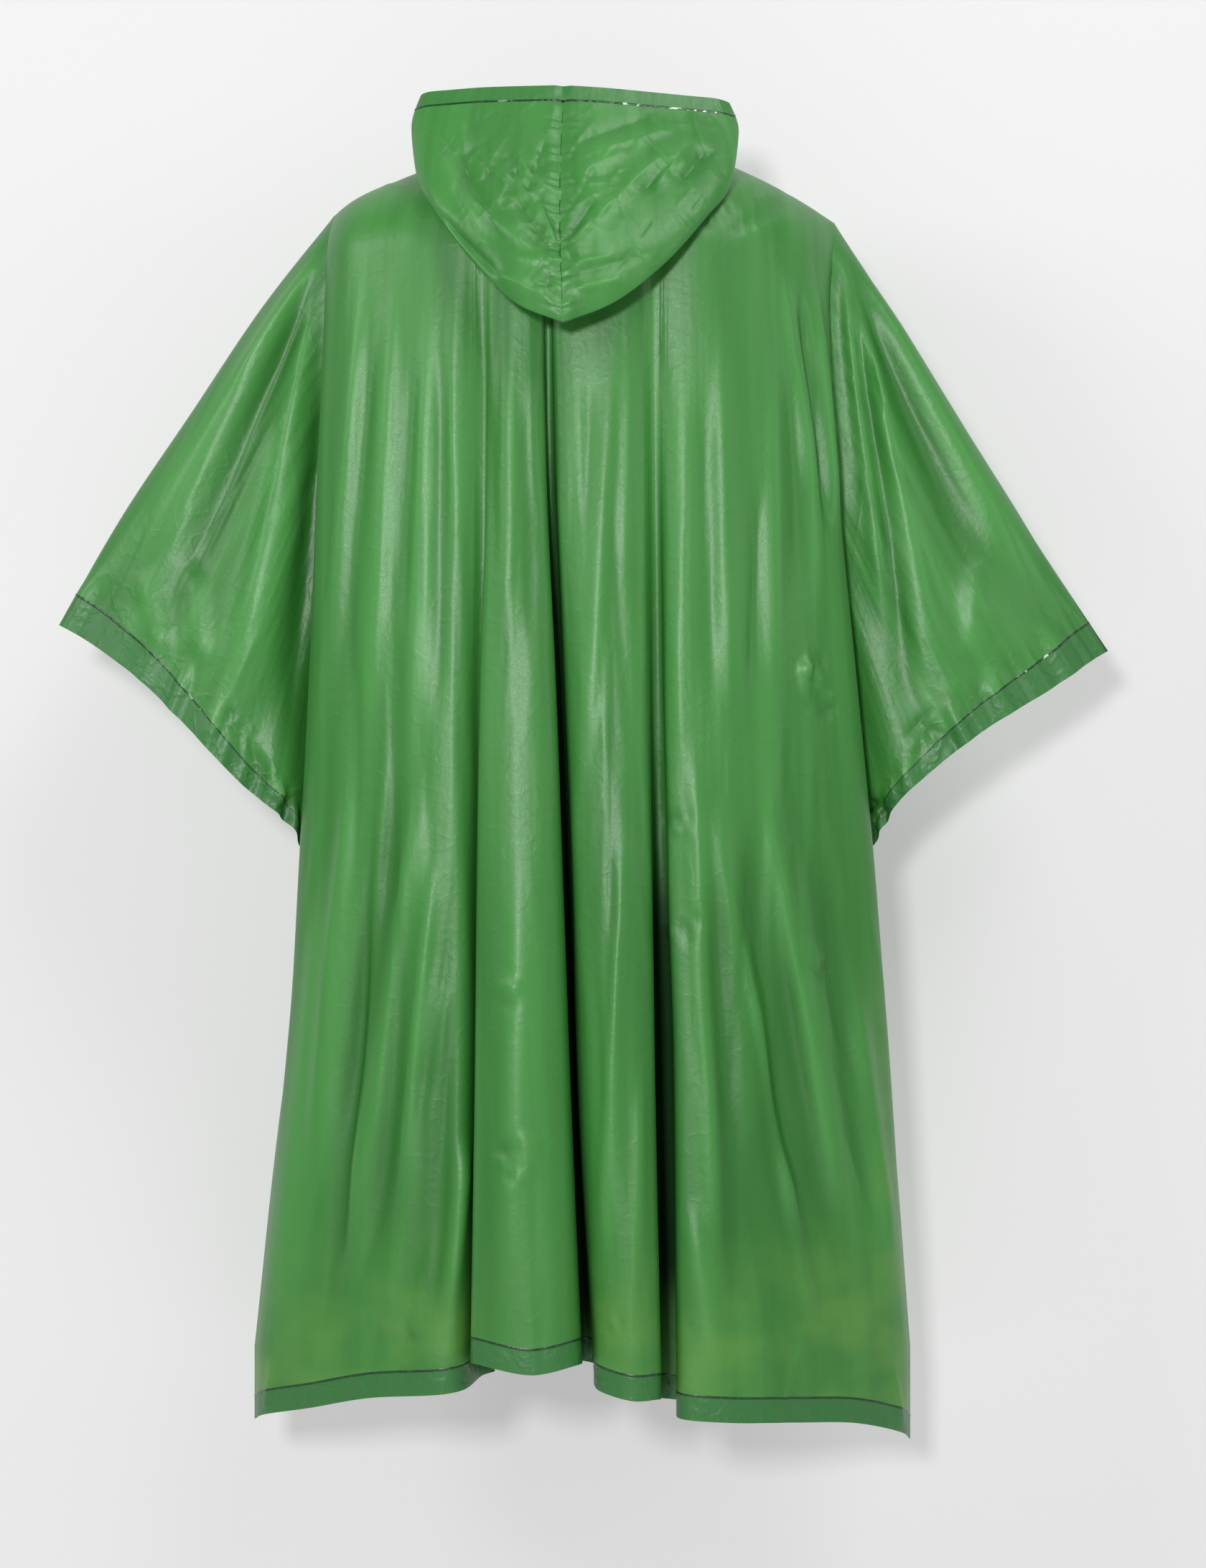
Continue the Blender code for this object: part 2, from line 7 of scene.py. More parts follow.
import math
import bpy
import numpy as np
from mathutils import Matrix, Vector
from mathutils.bvhtree import BVHTree


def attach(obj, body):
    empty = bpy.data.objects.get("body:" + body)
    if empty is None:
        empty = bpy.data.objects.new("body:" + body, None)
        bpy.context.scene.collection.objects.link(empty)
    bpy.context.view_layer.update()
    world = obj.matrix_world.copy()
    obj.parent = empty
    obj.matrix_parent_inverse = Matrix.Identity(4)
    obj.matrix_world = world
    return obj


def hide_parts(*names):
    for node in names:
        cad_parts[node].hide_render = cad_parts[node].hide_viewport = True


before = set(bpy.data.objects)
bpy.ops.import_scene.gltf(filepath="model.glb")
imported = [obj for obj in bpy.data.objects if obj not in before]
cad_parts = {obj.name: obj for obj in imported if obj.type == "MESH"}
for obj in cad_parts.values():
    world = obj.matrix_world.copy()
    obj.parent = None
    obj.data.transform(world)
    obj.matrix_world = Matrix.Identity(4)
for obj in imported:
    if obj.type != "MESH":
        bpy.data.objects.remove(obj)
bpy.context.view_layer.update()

MM = 0.001
SEED = 11

# Neck and shoulders
NECK_HALF = 76.0
NAPE_DEPTH = 60.0
FRONT_NECK_DEPTH = 76.0
NECK_SIDE_Z = 12.0
NAPE_DROP = 9.0
NECK_LEFT = 17.0
NECK_RISE = 4.5
FRONT_NECK_DROP = 82.0
FRONT_NECK_ROUND = 1.6
# Shoulder fold: how far out, and its z on the left and on the right
SHOULDER = (
    (76, 12, 12),
    (110, 3, 3),
    (145, -10, -11),
    (185, -26, -31),
    (214, -42, -48),
)

# Hems, and the weld that closes each of them
UNDERARM_Z = -450.0
BOTTOM_HEM = 20.0
CUFF_HEM = 28.0
HOOD_HEM = 14.0
WELD_HALF = 1.0
WELD_RISE = 0.4
HEM_GAP = 0.35
SEAM_TUCK = 0.5
SEAM_HALF_GAP = 0.15

# Upright fold lines of a panel, from the left side seam to the right one: the x where the line leaves
# the shoulder, its x and its distance from the middle plane at each level, and the height of the hem
BACK_LEVELS = (-90.0, -250.0, -450.0, -600.0, -750.0, -1000.0)
# Columns: name, top_x, x at each level, depth at each level, hem_z
BACK_LINES = (
    ("seam_l", -213, (-208, -205, -212, -217, -251, -280), (36, 32, 1, 1, 1, 1), -1062),
    ("edge_l", -203, (-214, -220, -229, -238, -247, -269), (50, 60, 54, 46, 36, 30), -1052),
    ("left_1", -176, (-200, -204, -206, -210, -212, -226), (78, 84, 82, 78, 72, 68), -1038),
    ("left_2", -130, (-150, -152, -156, -160, -165, -175), (102, 106, 106, 106, 103, 100), -1023),
    ("left_3", -90, (-101, -101, -104, -106, -108, -113), (113, 116, 119, 122, 125, 128), -1014),
    ("dive_edge", -76, (-89, -89, -91, -92, -93, -97), (113, 114, 115, 117, 119, 121), -1012),
    ("dive_floor_a", -69, (-85, -84, -84, -83, -82, -82), (113, 112, 107, 100, 91, 70), -1010),
    ("dive_floor_b", -65, (-80, -79, -77, -76, -75, -74), (113, 112, 107, 100, 91, 68), -1008),
    ("centre_l", -58, (-75, -77, -83, -85, -86, -89), (115, 118, 126, 131, 136, 142), -986),
    ("centre_crest", -42, (-56, -56, -54, -52, -49, -40), (120, 127, 138, 146, 153, 160), -992),
    ("centre_r", -26, (-34, -32, -24, -19, -14, -4), (117, 121, 130, 136, 141, 145), -987),
    ("valley_1a", -21, (-31, -30, -23, -18, -13, -2), (114, 101, 84, 76, 69, 58), -1001),
    ("valley_1b", -18, (-27, -25, -16, -10, -6, 8), (114, 101, 84, 76, 69, 58), -1003),
    ("middle_l", -12, (-23, -20, -12, -6, -2, 12), (115, 117, 122, 126, 129, 134), -1009),
    ("middle_crest", 8, (10, 13, 20, 22, 26, 40), (117, 123, 132, 140, 146, 153), -1014),
    ("middle_r", 32, (46, 48, 50, 53, 55, 60), (115, 118, 124, 130, 136, 142), -1015),
    ("valley_2a", 40, (55, 56, 57, 57, 58, 63), (113, 109, 96, 86, 75, 58), -1032),
    ("valley_2b", 44, (60, 61, 64, 70, 77, 80), (113, 109, 96, 86, 75, 58), -1034),
    ("right_l", 54, (70, 69, 68, 70, 75, 78), (114, 114, 117, 121, 125, 130), -1033),
    ("right_1", 76, (100, 101, 104, 107, 111, 118), (113, 116, 120, 124, 127, 132), -1036),
    ("right_2", 124, (140, 146, 152, 157, 162, 172), (101, 106, 108, 106, 104, 104), -1042),
    ("right_3", 170, (174, 184, 196, 204, 212, 224), (79, 88, 88, 82, 76, 70), -1050),
    ("edge_r", 198, (201, 209, 228, 243, 254, 267), (46, 58, 54, 46, 36, 30), -1067),
    ("seam_r", 213, (208, 197, 211, 224, 256, 277), (32, 32, 1, 1, 1, 1), -1079),
)
FRONT_LEVELS = (-130.0, -250.0, -450.0, -600.0, -750.0, -1000.0)
FRONT_LINES = (
    ("seam_l", -213, (-206, -205, -212, -217, -251, -280), (34, 32, 1, 1, 1, 1), -1062),
    ("edge_l", -203, (-215, -222, -232, -240, -248, -269), (56, 62, 56, 47, 38, 30), -1052),
    ("left_1", -166, (-178, -184, -190, -195, -200, -214), (84, 92, 94, 92, 90, 86), -1044),
    ("left_2", -120, (-128, -130, -134, -137, -140, -148), (102, 112, 120, 122, 122, 124), -1028),
    ("valley_l", -76, (-84, -86, -88, -90, -92, -96), (108, 113, 110, 106, 100, 90), -1020),
    ("middle_l", -52, (-54, -56, -56, -56, -57, -60), (113, 122, 132, 137, 141, 146), -1008),
    ("middle", 0, (0, 0, 0, 0, 0, 2), (118, 127, 136, 140, 143, 147), -1004),
    ("middle_r", 50, (52, 54, 54, 55, 56, 58), (113, 122, 132, 137, 141, 146), -1008),
    ("valley_r", 76, (83, 84, 86, 88, 90, 94), (108, 113, 110, 106, 100, 90), -1022),
    ("right_2", 120, (126, 130, 134, 138, 142, 150), (102, 112, 120, 122, 122, 124), -1032),
    ("right_1", 166, (170, 180, 190, 198, 204, 216), (84, 92, 94, 92, 90, 86), -1052),
    ("edge_r", 198, (201, 210, 231, 244, 254, 267), (50, 60, 56, 47, 38, 30), -1067),
    ("seam_r", 213, (208, 197, 211, 224, 256, 277), (32, 32, 1, 1, 1, 1), -1079),
)

# Upper edge of a sleeve, from the shoulder (0) to the cuff (1): along, top_left, top_right as x and z
ARM_TOP = (
    (0, (-214.5, -42.5), (214.5, -48.5)),
    (0.25, (-275, -120), (268, -134)),
    (0.5, (-334, -208), (328, -230)),
    (0.75, (-391, -293), (386, -321)),
    (1, (-446, -388), (445, -410)),
)
# Lower edge of a sleeve: along, left_x, right_x, z
UNDER = (
    (0, -218.5, 218.5, -452),
    (0.5, -226, 226, -530),
    (1, -230, 234, -603),
)
# Cuff, from its top (0) to its bottom (1): round, left, right as x and z, back_off, front_off
CUFF = (
    (0, (-446, -388), (445, -410), 0, 0),
    (0.03, (-436, -393), (436, -415), 7, 7),
    (0.2, (-381, -429), (388, -446), 24, 30),
    (0.4, (-330, -477), (341, -474), 34, 44),
    (0.6, (-285, -524), (298, -506), 38, 48),
    (0.8, (-245, -560), (255, -549), 30, 38),
    (0.95, (-232, -594), (238, -590), 10, 11),
    (1, (-230, -603), (234, -603), 1, 1),
)
# Long soft folds of a sleeve: round, height, half
SLEEVE_FOLDS = ((0.22, 7.0, 0.09), (0.45, 10.0, 0.12), (0.7, 6.0, 0.08))

# Hood stations round the neck, from the centre seam at the back (0) to the front of the neck (4): the
# face edge, the fold line of the bag, how far the outer layer swells, how round the fold is, and how
# far round the neck the seam lies, in degrees
# Columns: station, face, fold, bulge, slack, turn
HOOD_LEFT = (
    (0, (-17, -80, 51), (-16, -166, -158), 20, 34, 0),
    (0.5, (-48, -79, 50.5), (-51, -159, -143), 19, 32, 16),
    (1, (-80, -77, 50), (-88, -145, -105), 16, 27, 34),
    (1.5, (-110, -74, 48.5), (-119, -124, -62), 12, 20, 54),
    (1.8, (-128, -71, 47.5), (-134, -100, -34), 9, 14, 66),
    (2.1, (-135, -62, 46), (-140, -66, 12), 4, 10, 78),
    (2.6, (-127, -20, 42), (-134, -18, 14), 0, 8, 100),
    (3.1, (-98, 45, 26), (-104, 48, -4), 0, 8, 128),
    (3.6, (-46, 87, -22), (-50, 96, -48), 0, 7, 156),
    (4, (-0.3, 96, -42), (-0.3, 104, -64), 0, 6, 180),
)
HOOD_RIGHT = (
    (0, (-16.6, -80, 51), (-15.6, -166, -158), 20, 34, 0),
    (0.5, (18, -79, 49), (21, -159, -143), 19, 32, 16),
    (1, (55, -77, 46), (63, -146, -110), 16, 27, 34),
    (1.5, (88, -74, 43.5), (100, -125, -66), 12, 20, 54),
    (1.8, (110, -71, 42), (120, -102, -36), 9, 14, 66),
    (2.1, (121, -62, 40), (126, -66, 10), 4, 10, 78),
    (2.6, (119, -20, 40), (126, -18, 14), 0, 8, 100),
    (3.1, (97, 45, 26), (104, 48, -4), 0, 8, 128),
    (3.6, (46, 87, -22), (51, 97, -48), 0, 7, 156),
    (4, (0.3, 96, -42), (0.3, 104, -64), 0, 6, 180),
)
HOOD_CLEAR = 5.0
HOOD_MIDDLE_X = -16.8
# Centre seam of the hood: how wide one station is, then its puckers and the groove that it lies in
STATION_WIDTH = 62.0
PUCKER_HEIGHT, PUCKER_HALF = 0.9, 9.0
SEAM_DEPTH, SEAM_HALF = 1.8, 4.0

# Creases, as x and z seen from behind: where each starts and ends, its half width at
# both ends, its height (a trough is negative) and how far it leans to its right (+) or left (-)
# Columns: start, end, halves, height, lean where it leans
BACK_CREASES = (
    ((-177, -70), (-221, -526), (6.3, 9.5), 3.1, 0.2),
    ((-169, -110), (-202, -506), (7.4, 8.5), -3.3),
    ((-152, -90), (-175, -506), (6.3, 9.5), 3.1, -0.2),
    ((-136, -150), (-150, -410), (5.3, 8.5), -2),
    ((-125, -100), (-144, -541), (6.3, 9.5), 2.8, 0.3),
    ((-113, -150), (-117, -487), (5.3, 7.4), -2.3),
    ((-104, -80), (-104, -371), (6.3, 8.5), 2.3, 0.2),
    ((-187, -480), (-225, -887), (8, 13), 5.6, 0.3),
    ((-152, -500), (-196, -852), (9, 15), -6.4),
    ((-130, -500), (-181, -875), (9, 14), 6.4, 0.3),
    ((-113, -690), (-148, -962), (9, 14), -5.8),
    ((-98, -640), (-163, -979), (8, 13), 5.4, 0.2),
    ((-94, -800), (-110, -960), (5.5, 7.4), 5.7),
    ((-63, -150), (-61, -430), (8.5, 10.6), 2.4),
    ((-45, -195), (-42, -430), (7.4, 9.5), -2),
    ((26, -150), (3, -526), (6.3, 8.5), 2.7, -0.3),
    ((37, -180), (35, -360), (5.3, 6.3), 1.7),
    ((33, -540), (14, -921), (5.5, 7.4), 3.6, 0.2),
    ((46, -740), (43, -950), (3.7, 5.5), 2.4),
    ((80, -150), (81, -526), (9.5, 13.8), 2.4),
    ((97, -190), (103, -470), (7.4, 9.5), -2.3),
    ((110, -130), (118, -470), (7.4, 10.6), 2.3, 0.2),
    ((138, -260), (143, -470), (6.3, 9.5), -2.5),
    ((155, -160), (158, -470), (6.3, 9.5), 2.3),
    ((169, -130), (178, -383), (5.3, 9.5), -2.7),
    ((184, -90), (195, -412), (5.3, 8.5), 3.1, -0.3),
    ((107, -520), (142, -875), (9, 13), 5.1),
    ((130, -540), (176, -875), (9, 13), -5.4),
    ((142, -520), (234, -927), (8, 11), 5.4, 0.2),
    ((157, -620), (203, -921), (8, 11), -4.5),
    ((219, -690), (257, -930), (8, 10), 4.5),
    ((85, -850), (109, -1010), (9, 12), 4.2),
    ((161, -810), (191, -980), (6.4, 8.3), 5.2),
    ((-205, -560), (-262, -1010), (14, 22), 5, 0.3),
    ((-172, -600), (-214, -1000), (7, 10), -6),
    ((-158, -470), (-196, -960), (5, 8), 6, 0.2),
    ((-136, -560), (-170, -940), (7, 10), -6),
    ((-118, -560), (-152, -900), (4.5, 7), 5, 0.2),
    ((-103, -620), (-122, -985), (7, 11), -5),
    ((-50, -560), (-62, -960), (11, 14), 3.5, 0.2),
    ((88, -470), (112, -960), (6, 10), 5),
    ((104, -560), (140, -985), (14, 24), -8),
    ((128, -640), (176, -900), (4.5, 7), 6.5, 0.2),
    ((146, -700), (196, -990), (9, 14), -6),
    ((158, -610), (214, -900), (4.5, 7), 6, 0.2),
    ((190, -560), (240, -900), (8, 12), -5),
    ((214, -640), (262, -1000), (9, 14), 5),
    ((176, -104), (205, -330), (4, 4.5), -8),
    ((190, -96), (213, -330), (4.5, 5), 4.5),
    ((160, -84), (188, -300), (5.5, 7), 4),
    ((258, -1008), (268, -1066), (3, 3), 2.2),
    ((-258, -1000), (-268, -1052), (3, 3), 2.2),
    ((184, -960), (154, -1050), (2.3, 2.3), 2.1),
)
FRONT_CREASES = (
    ((-180, -110), (-214, -560), (7, 11), 3.2, 0.2),
    ((-150, -140), (-168, -600), (7, 11), -3),
    ((-118, -130), (-140, -520), (7, 10), 2.8),
    ((-66, -180), (-64, -520), (7, 10), -2.2),
    ((-30, -160), (-38, -620), (8, 12), 2.6),
    ((8, -170), (4, -480), (7, 9), -2),
    ((34, -170), (30, -560), (7, 11), 2.4),
    ((112, -140), (128, -520), (7, 10), 2.6),
    ((146, -150), (170, -580), (7, 11), -3),
    ((178, -120), (214, -560), (6, 11), 3.2),
    ((-170, -560), (-214, -960), (9, 14), 3.6, 0.2),
    ((-122, -600), (-140, -960), (9, 14), -3.2),
    ((-24, -640), (-18, -960), (9, 13), 3),
    ((24, -560), (36, -900), (8, 12), -2.4),
    ((128, -560), (152, -950), (9, 14), 3.4),
    ((176, -600), (214, -960), (9, 14), -3.4),
)
LEFT_SLEEVE_CREASES = (
    ((-211, -56), (-392, -364), (6, 24), 6.8),
    ((-219, -80), (-362, -424), (6, 20), -8.8),
    ((-224, -100), (-292, -474), (6, 24), 8.8, 0.2),
    ((-214, -160), (-250, -524), (7, 16), -8.1),
    ((-216, -70), (-300, -200), (3, 6), 2.7),
    ((-330, -330), (-318, -430), (10, 12), 4.1),
    ((-372, -340), (-350, -420), (10, 12), 3.2),
)
RIGHT_SLEEVE_CREASES = (
    ((213, -60), (258, -400), (5, 10), 6.8),
    ((220, -90), (276, -470), (5, 10), -6.1),
    ((222, -80), (300, -440), (5, 14), 6.1),
    ((214, -60), (348, -384), (6, 20), -7.4),
    ((213, -56), (392, -380), (6, 22), 7.4),
    ((240, -160), (254, -218), (3, 4), 3.2, 0.5),
    ((330, -330), (322, -430), (10, 12), 3.5),
)
# Small crumpled places. Columns: middle, reach, how many creases cross there, their height
BACK_CRUMPLES = (
    ((184, -432), 17, 7, 3.4),
    ((201, -455), 14, 5, 2.3),
    ((76, -557), 16, 6, 1.7),
    ((84, -640), 14, 5, 1.7),
    ((194, -672), 18, 6, 2.1),
    ((-58, -690), 14, 5, 1.7),
    ((-52, -820), 26, 8, 1.9),
    ((26, -950), 10, 4, 1.9),
    ((-148, -965), 16, 5, 1.5),
)
FRONT_CRUMPLES = (((-120, -500), 18, 6, 1.2), ((60, -690), 20, 6, 1.0), ((170, -820), 18, 6, 1.0))
SLEEVE_CRUMPLES = (((248, -545), 24, 9, 1.8), ((290, -480), 22, 7, 1.4))

# Creases of the hood
HOOD_CREASES_LEFT = (
    ((-18, -98), (-38, -54), (3, 5), 4.2, 0.3),
    ((-24, -102), (-58, -46), (4, 6), -3.2),
    ((-36, -58), (-72, -22), (4, 6), 3.2),
    ((-118, -8), (-76, -98), (5, 7), 4, 0.4),
    ((-104, -8), (-62, -92), (5, 7), -3.5),
    ((-94, -50), (-38, -102), (4, 5), 2.8, 0.3),
    ((-56, -16), (-26, -48), (3, 3.5), 3),
    ((-30, 4), (-44, -42), (3, 4), -2.2),
    ((-120, -64), (-60, -126), (6, 8), -3.8),
    ((-72, -116), (-20, -140), (5, 6), 3),
    ((-100, 24), (-96, -12), (3, 4), 1.8),
    ((-19, -112), (-54, -105), (3, 4), 2.2),
    ((-18, -126), (-46, -128), (3, 4), -2),
)
HOOD_CREASES_RIGHT = (
    ((-15, -98), (12, -69), (3, 5), 4, -0.3),
    ((7, -75), (37, -41), (4, 6), 3.5),
    ((29, -49), (66, -10), (4, 6), 2.8),
    ((-13, -92), (11, -50), (4, 5), -3),
    ((-14, -20), (84, 17), (5, 8), 2.2),
    ((-12, -4), (62, 27), (5, 7), -2),
    ((-14, -36), (42, -6), (4, 6), 2),
    ((54, -46), (93, 6), (5, 8), 3.8, 0.3),
    ((42, -52), (79, -12), (4, 6), -3),
    ((75, -42), (103, -2), (5, 6), -3),
    ((-14, -112), (28, -103), (3, 4), 2.2),
    ((-13, -133), (38, -121), (4, 5), 2.8),
    ((-12, -120), (62, -97), (5, 7), -2.2),
    ((88, 32), (100, -12), (3, 5), 1.8),
)
HOOD_CRUMPLES = (
    ((-17, -96), 22, 10, 1.3),
    ((-44, -36), 30, 14, 1.1),
    ((-80, -20), 26, 7, 0.7),
    ((14, -44), 26, 7, 0.8),
    ((72, -20), 24, 7, 0.7),
    ((-40, -84), 26, 7, 0.7),
    ((-20, -128), 20, 6, 0.8),
)
# Small pulls scattered over a field. Columns: x, z, tilt in degrees, count, long, half, height
BACK_STREAKS = (
    ((-200, 200), (-560, -90), 0, 46, (110, 300), (3.0, 6.5), 1.1),
    ((-220, -90), (-900, -480), -9, 34, (80, 260), (2.6, 6.0), 1.0),
    ((80, 240), (-900, -480), 12, 36, (80, 260), (2.6, 6.0), 1.0),
    ((-85, 60), (-900, -300), 2, 34, (60, 220), (2.4, 6.0), 0.7),
    ((-190, -90), (-44, -6), 62, 16, (28, 70), (2.6, 3.8), 1.8),
    ((90, 190), (-66, -14), -62, 20, (28, 70), (2.6, 3.8), 1.8),
)
FRONT_STREAKS = (((-200, 200), (-900, -120), 0, 80, (60, 240), (2.6, 6.0), 0.9),)
SLEEVE_STREAKS = (
    ((-400, -230), (-500, -100), -28, 30, (50, 160), (2.4, 5.0), 0.7),
    ((230, 400), (-500, -100), 28, 30, (50, 160), (2.4, 5.0), 0.7),
)
HOOD_STREAKS = (
    ((-125, 110), (-120, 40), -35, 34, (14, 50), (1.8, 3.6), 0.8),
    ((-125, 110), (-120, 40), 40, 30, (14, 45), (1.8, 3.4), 0.7),
)
# How sharp a crease is: 2 is a soft roll, 1 an edge. Film that is side on has no creases.
SOFT, HOOD_SHARP, SHARP = 2.0, 1.3, 1.2
SIDE_ON = 0.6

# Waves round the cuffs: where they start along the sleeve, how many, how high
RUFFLE_FROM, RUFFLE_WAVES, RUFFLE_HEIGHT = 0.84, 30.0, 6.0

# Grids: how far apart points are across a panel, its rows over the shoulder, down the body and in the
# hem, then the rows and columns of a sleeve and of a hood half
BACK_STEP, BACK_ROWS = 2.9, (22, 190, 8)
FRONT_STEP, FRONT_ROWS = 3.6, (18, 160, 8)
SLEEVE_ROWS, SLEEVE_COLUMNS, CUFF_ROWS = 150, 150, 9
HOOD_OUTER, HOOD_INNER, HOOD_STATIONS = 120, 60, 150

# Film, as linear colours: painted light on a ridge and painted shade in a trough, which random streaks
# also mix; where a hem is double; and clear, painted light where light would come through a single layer.
# Crinkle is a cell and a depth in metres.
COAT, COAT_ROUGH = 0.1, 0.34
SEE_THROUGH = 0.06
IOR = 1.5
SHEEN, PLEAT_SHADE_SHEEN = 0.5, 0.06
GRAIN_CELL = (0.0012, 0.0012, 0.0012)
PULL_CELL, PULL_DEPTH = (0.02, 0.3, 1.0), 0.0012
FINE_PULL_CELL, FINE_PULL_DEPTH = (0.007, 0.12, 1.0), 0.00014
SKIN_CELL, SKIN_DEPTH = (0.004, 0.004, 0.006), 0.00012
DRIFT_CELL, PATCH_CELL = (0.022, 0.4, 1.0), (0.07, 0.07, 0.045)
# weld colours: a dark and a lighter tone mixed at random, and a pale painted glint
WELD_DARK, WELD_LIGHT, WELD_GLINT = (0.004, 0.03, 0.007), (0.01, 0.07, 0.016), (0.5, 0.7, 0.5)
WELD_ROUGH, WELD_COAT, WELD_COAT_ROUGH = 0.32, 0.12, 0.2
HOOD_CRINKLE = (0.05, 0.0013)
FILM = {
    "light": (0.057, 0.265, 0.05),
    "shade": (0.024, 0.155, 0.021),
    "hem": (0.028, 0.155, 0.034),
    "clear": (0.1, 0.27, 0.045),
    "rough": 0.45,
    "crinkle": (0.024, 0.0009),
}
# painted shade: a near-black green for the floors of deep pleats
PLEAT_SHADE = (0.004, 0.028, 0.005)

# How high a ridge takes the full painted light, how much painted shade darkens the film low down, and from
# where
RIDGE_HEIGHT, LOW_PAINTED_SHADE = 4.5, 0.17
LOW_PAINTED_SHADE_Z, LOW_PAINTED_SHADE_FADE = -430.0, 200.0
# Pleats of the back painted dark with shade to the floor: x from and to, z from and to. Then how the
# painted shade fades at the top and at the bottom, and how deep below the folds near it film is painted
# dark.
PLEAT_SHADE_SPANS = ((-60, 32, -170, -1015), (32, 100, -540, -985))
PLEAT_SHADE_FADES = (110.0, 70.0)
PLEAT_REACH, PLEAT_FROM, PLEAT_RANGE, DARKEST_PLEAT_SHADE = 26.0, 8.0, 36.0, 0.95
# Painted light for light through a single layer: how strong, and how high above the hem it reaches on the
# left, in the middle and on the right, where it climbs. Then the dim fold, and the strip along the right
# edge.
LIT, LIT_LEFT, LIT_MIDDLE, LIT_RIGHT, LIT_CLIMB = 0.7, 100.0, 95.0, 90.0, 0.45
LIT_LEFT_X, LIT_RIGHT_X, LIT_OVER, LIT_FADE = -80.0, 72.0, 70.0, 160.0
DIM_FOLD, DIM = (-88.0, 4.0), 0.2
EDGE_LIT, EDGE_X, EDGE_Z, EDGE_TILT, EDGE_FADE = 0.5, 228.0, -700.0, 0.02, 30.0
EDGE_TOP, EDGE_TOP_FADE = -560.0, 200.0
# painted light near the cuffs: how strong, below what height, and how it fades
CUFF_LIT, CUFF_LOW, CUFF_LOW_FADE = 0.25, -470.0, 60.0
# How far a hem takes the hem's colour, and how crinkled the film is in and out of it
PANEL_HEM, SLEEVE_HEM, HOOD_HEM_COLOUR = 0.85, 0.75, 0.5
PANEL_CRUMPLED, PANEL_HEM_CRUMPLED = 0.12, 0.35
SLEEVE_CRUMPLED, CUFF_CRUMPLED, CUFF_FROM = 0.15, 0.5, 0.8
# a turned hem: no painted light through it, and the painted shading of creases held even
HEM_MARKS = {"hem": 0.8, "lit": 0.0, "crumpled": 0.4, "painted_shading": 0.5}

# Light. Columns: name, place, size, power
LIGHTS = (
    ("key", (-0.4, -3.0, -0.05), 0.28, 50.0),
    ("side", (-2.4, -1.7, 0.9), 1.0, 28.0),
    ("top", (0.9, -1.6, 1.8), 1.2, 34.0),
    ("fill", (2.6, -1.7, 0.2), 1.2, 12.0),
)
LIGHTS_AIM = (0.0, 0.0, -0.5)
WORLD_LIGHT = 0.1
WHITE = (1.0, 1.0, 1.0, 1.0)
BACKDROP_COLOUR = (0.46, 0.46, 0.46, 1.0)
BACKDROP_GLOW, BACKDROP_ROUGH = 0.33, 0.95
BACKDROP_Y = 0.175
FLOOR_Z = -1.6
BACKDROP_HALF = 4.0
BACKDROP_TOP = 3.2
BACKDROP_BEND = 0.25

# Camera: square on to the back
CAMERA_AT = (0.016, -2.4, -0.523)
VIEW_HEIGHT = 1.332
SENSOR = 36.0


def smooth(t):
    t = np.clip(t, 0.0, 1.0)
    return t * t * (3 - 2 * t)


def through(knots, values, at):
    """A smooth curve through values at knots, which never overshoots them."""
    k, v = np.asarray(knots, float), np.asarray(values, float)
    if k[0] > k[-1]:
        k, v = k[::-1], v[::-1]
    at = np.clip(at, k[0], k[-1])
    i = np.clip(np.searchsorted(k, at, side="right") - 1, 0, len(k) - 2)
    slope = np.diff(v) / np.diff(k)
    before, after = slope[:-1], slope[1:]
    same = before * after > 0
    middle = np.where(same, 2 * before * after / np.where(same, before + after, 1.0), 0.0)
    ends = np.concatenate([slope[:1], middle, slope[-1:]])
    width = k[i + 1] - k[i]
    t = (at - k[i]) / width
    first, second = v[i] * (2 * t**3 - 3 * t**2 + 1), v[i + 1] * (3 * t**2 - 2 * t**3)
    return first + second + width * (ends[i] * (t**3 - 2 * t**2 + t) + ends[i + 1] * (t**3 - t**2))


def through_points(knots, points, at):
    points = np.asarray(points, float)
    return np.stack([through(knots, points[:, i], at) for i in range(points.shape[1])], axis=-1)


def length_of(vectors):
    return np.linalg.norm(vectors, axis=-1, keepdims=True)


def unit(vectors):
    return vectors / np.maximum(length_of(vectors), 1e-9)


def across(p, strips):
    """Rows of points on rounded curves through rows of points, with some strips between each pair."""
    out = []
    last = p.shape[1] - 1
    for i in range(last):
        here, there = p[:, i], p[:, i + 1]
        before = p[:, i - 1] if i else 2 * here - there
        after = p[:, i + 2] if i + 2 <= last else 2 * there - here
        d0 = np.maximum(length_of(here - before), 1e-6) ** 0.5
        d1 = np.maximum(length_of(there - here), 1e-6) ** 0.5
        d2 = np.maximum(length_of(after - there), 1e-6) ** 0.5
        m0 = ((here - before) / d0 - (there - before) / (d0 + d1) + (there - here) / d1) * d1
        m1 = ((there - here) / d1 - (after - here) / (d1 + d2) + (after - there) / d2) * d1
        for t in np.arange(strips[i]) / strips[i]:
            a, b = 2 * t**3 - 3 * t**2 + 1, t**3 - 2 * t**2 + t
            out.append(a * here + b * m0 + (1 - a) * there + (t**3 - t**2) * m1)
    out.append(p[:, last])
    return np.stack(out, axis=1)


def between(values, strips):
    parts = [np.linspace(a, b, n, endpoint=False) for a, b, n in zip(values, values[1:], strips)]
    return np.concatenate(parts + [values[-1:]])


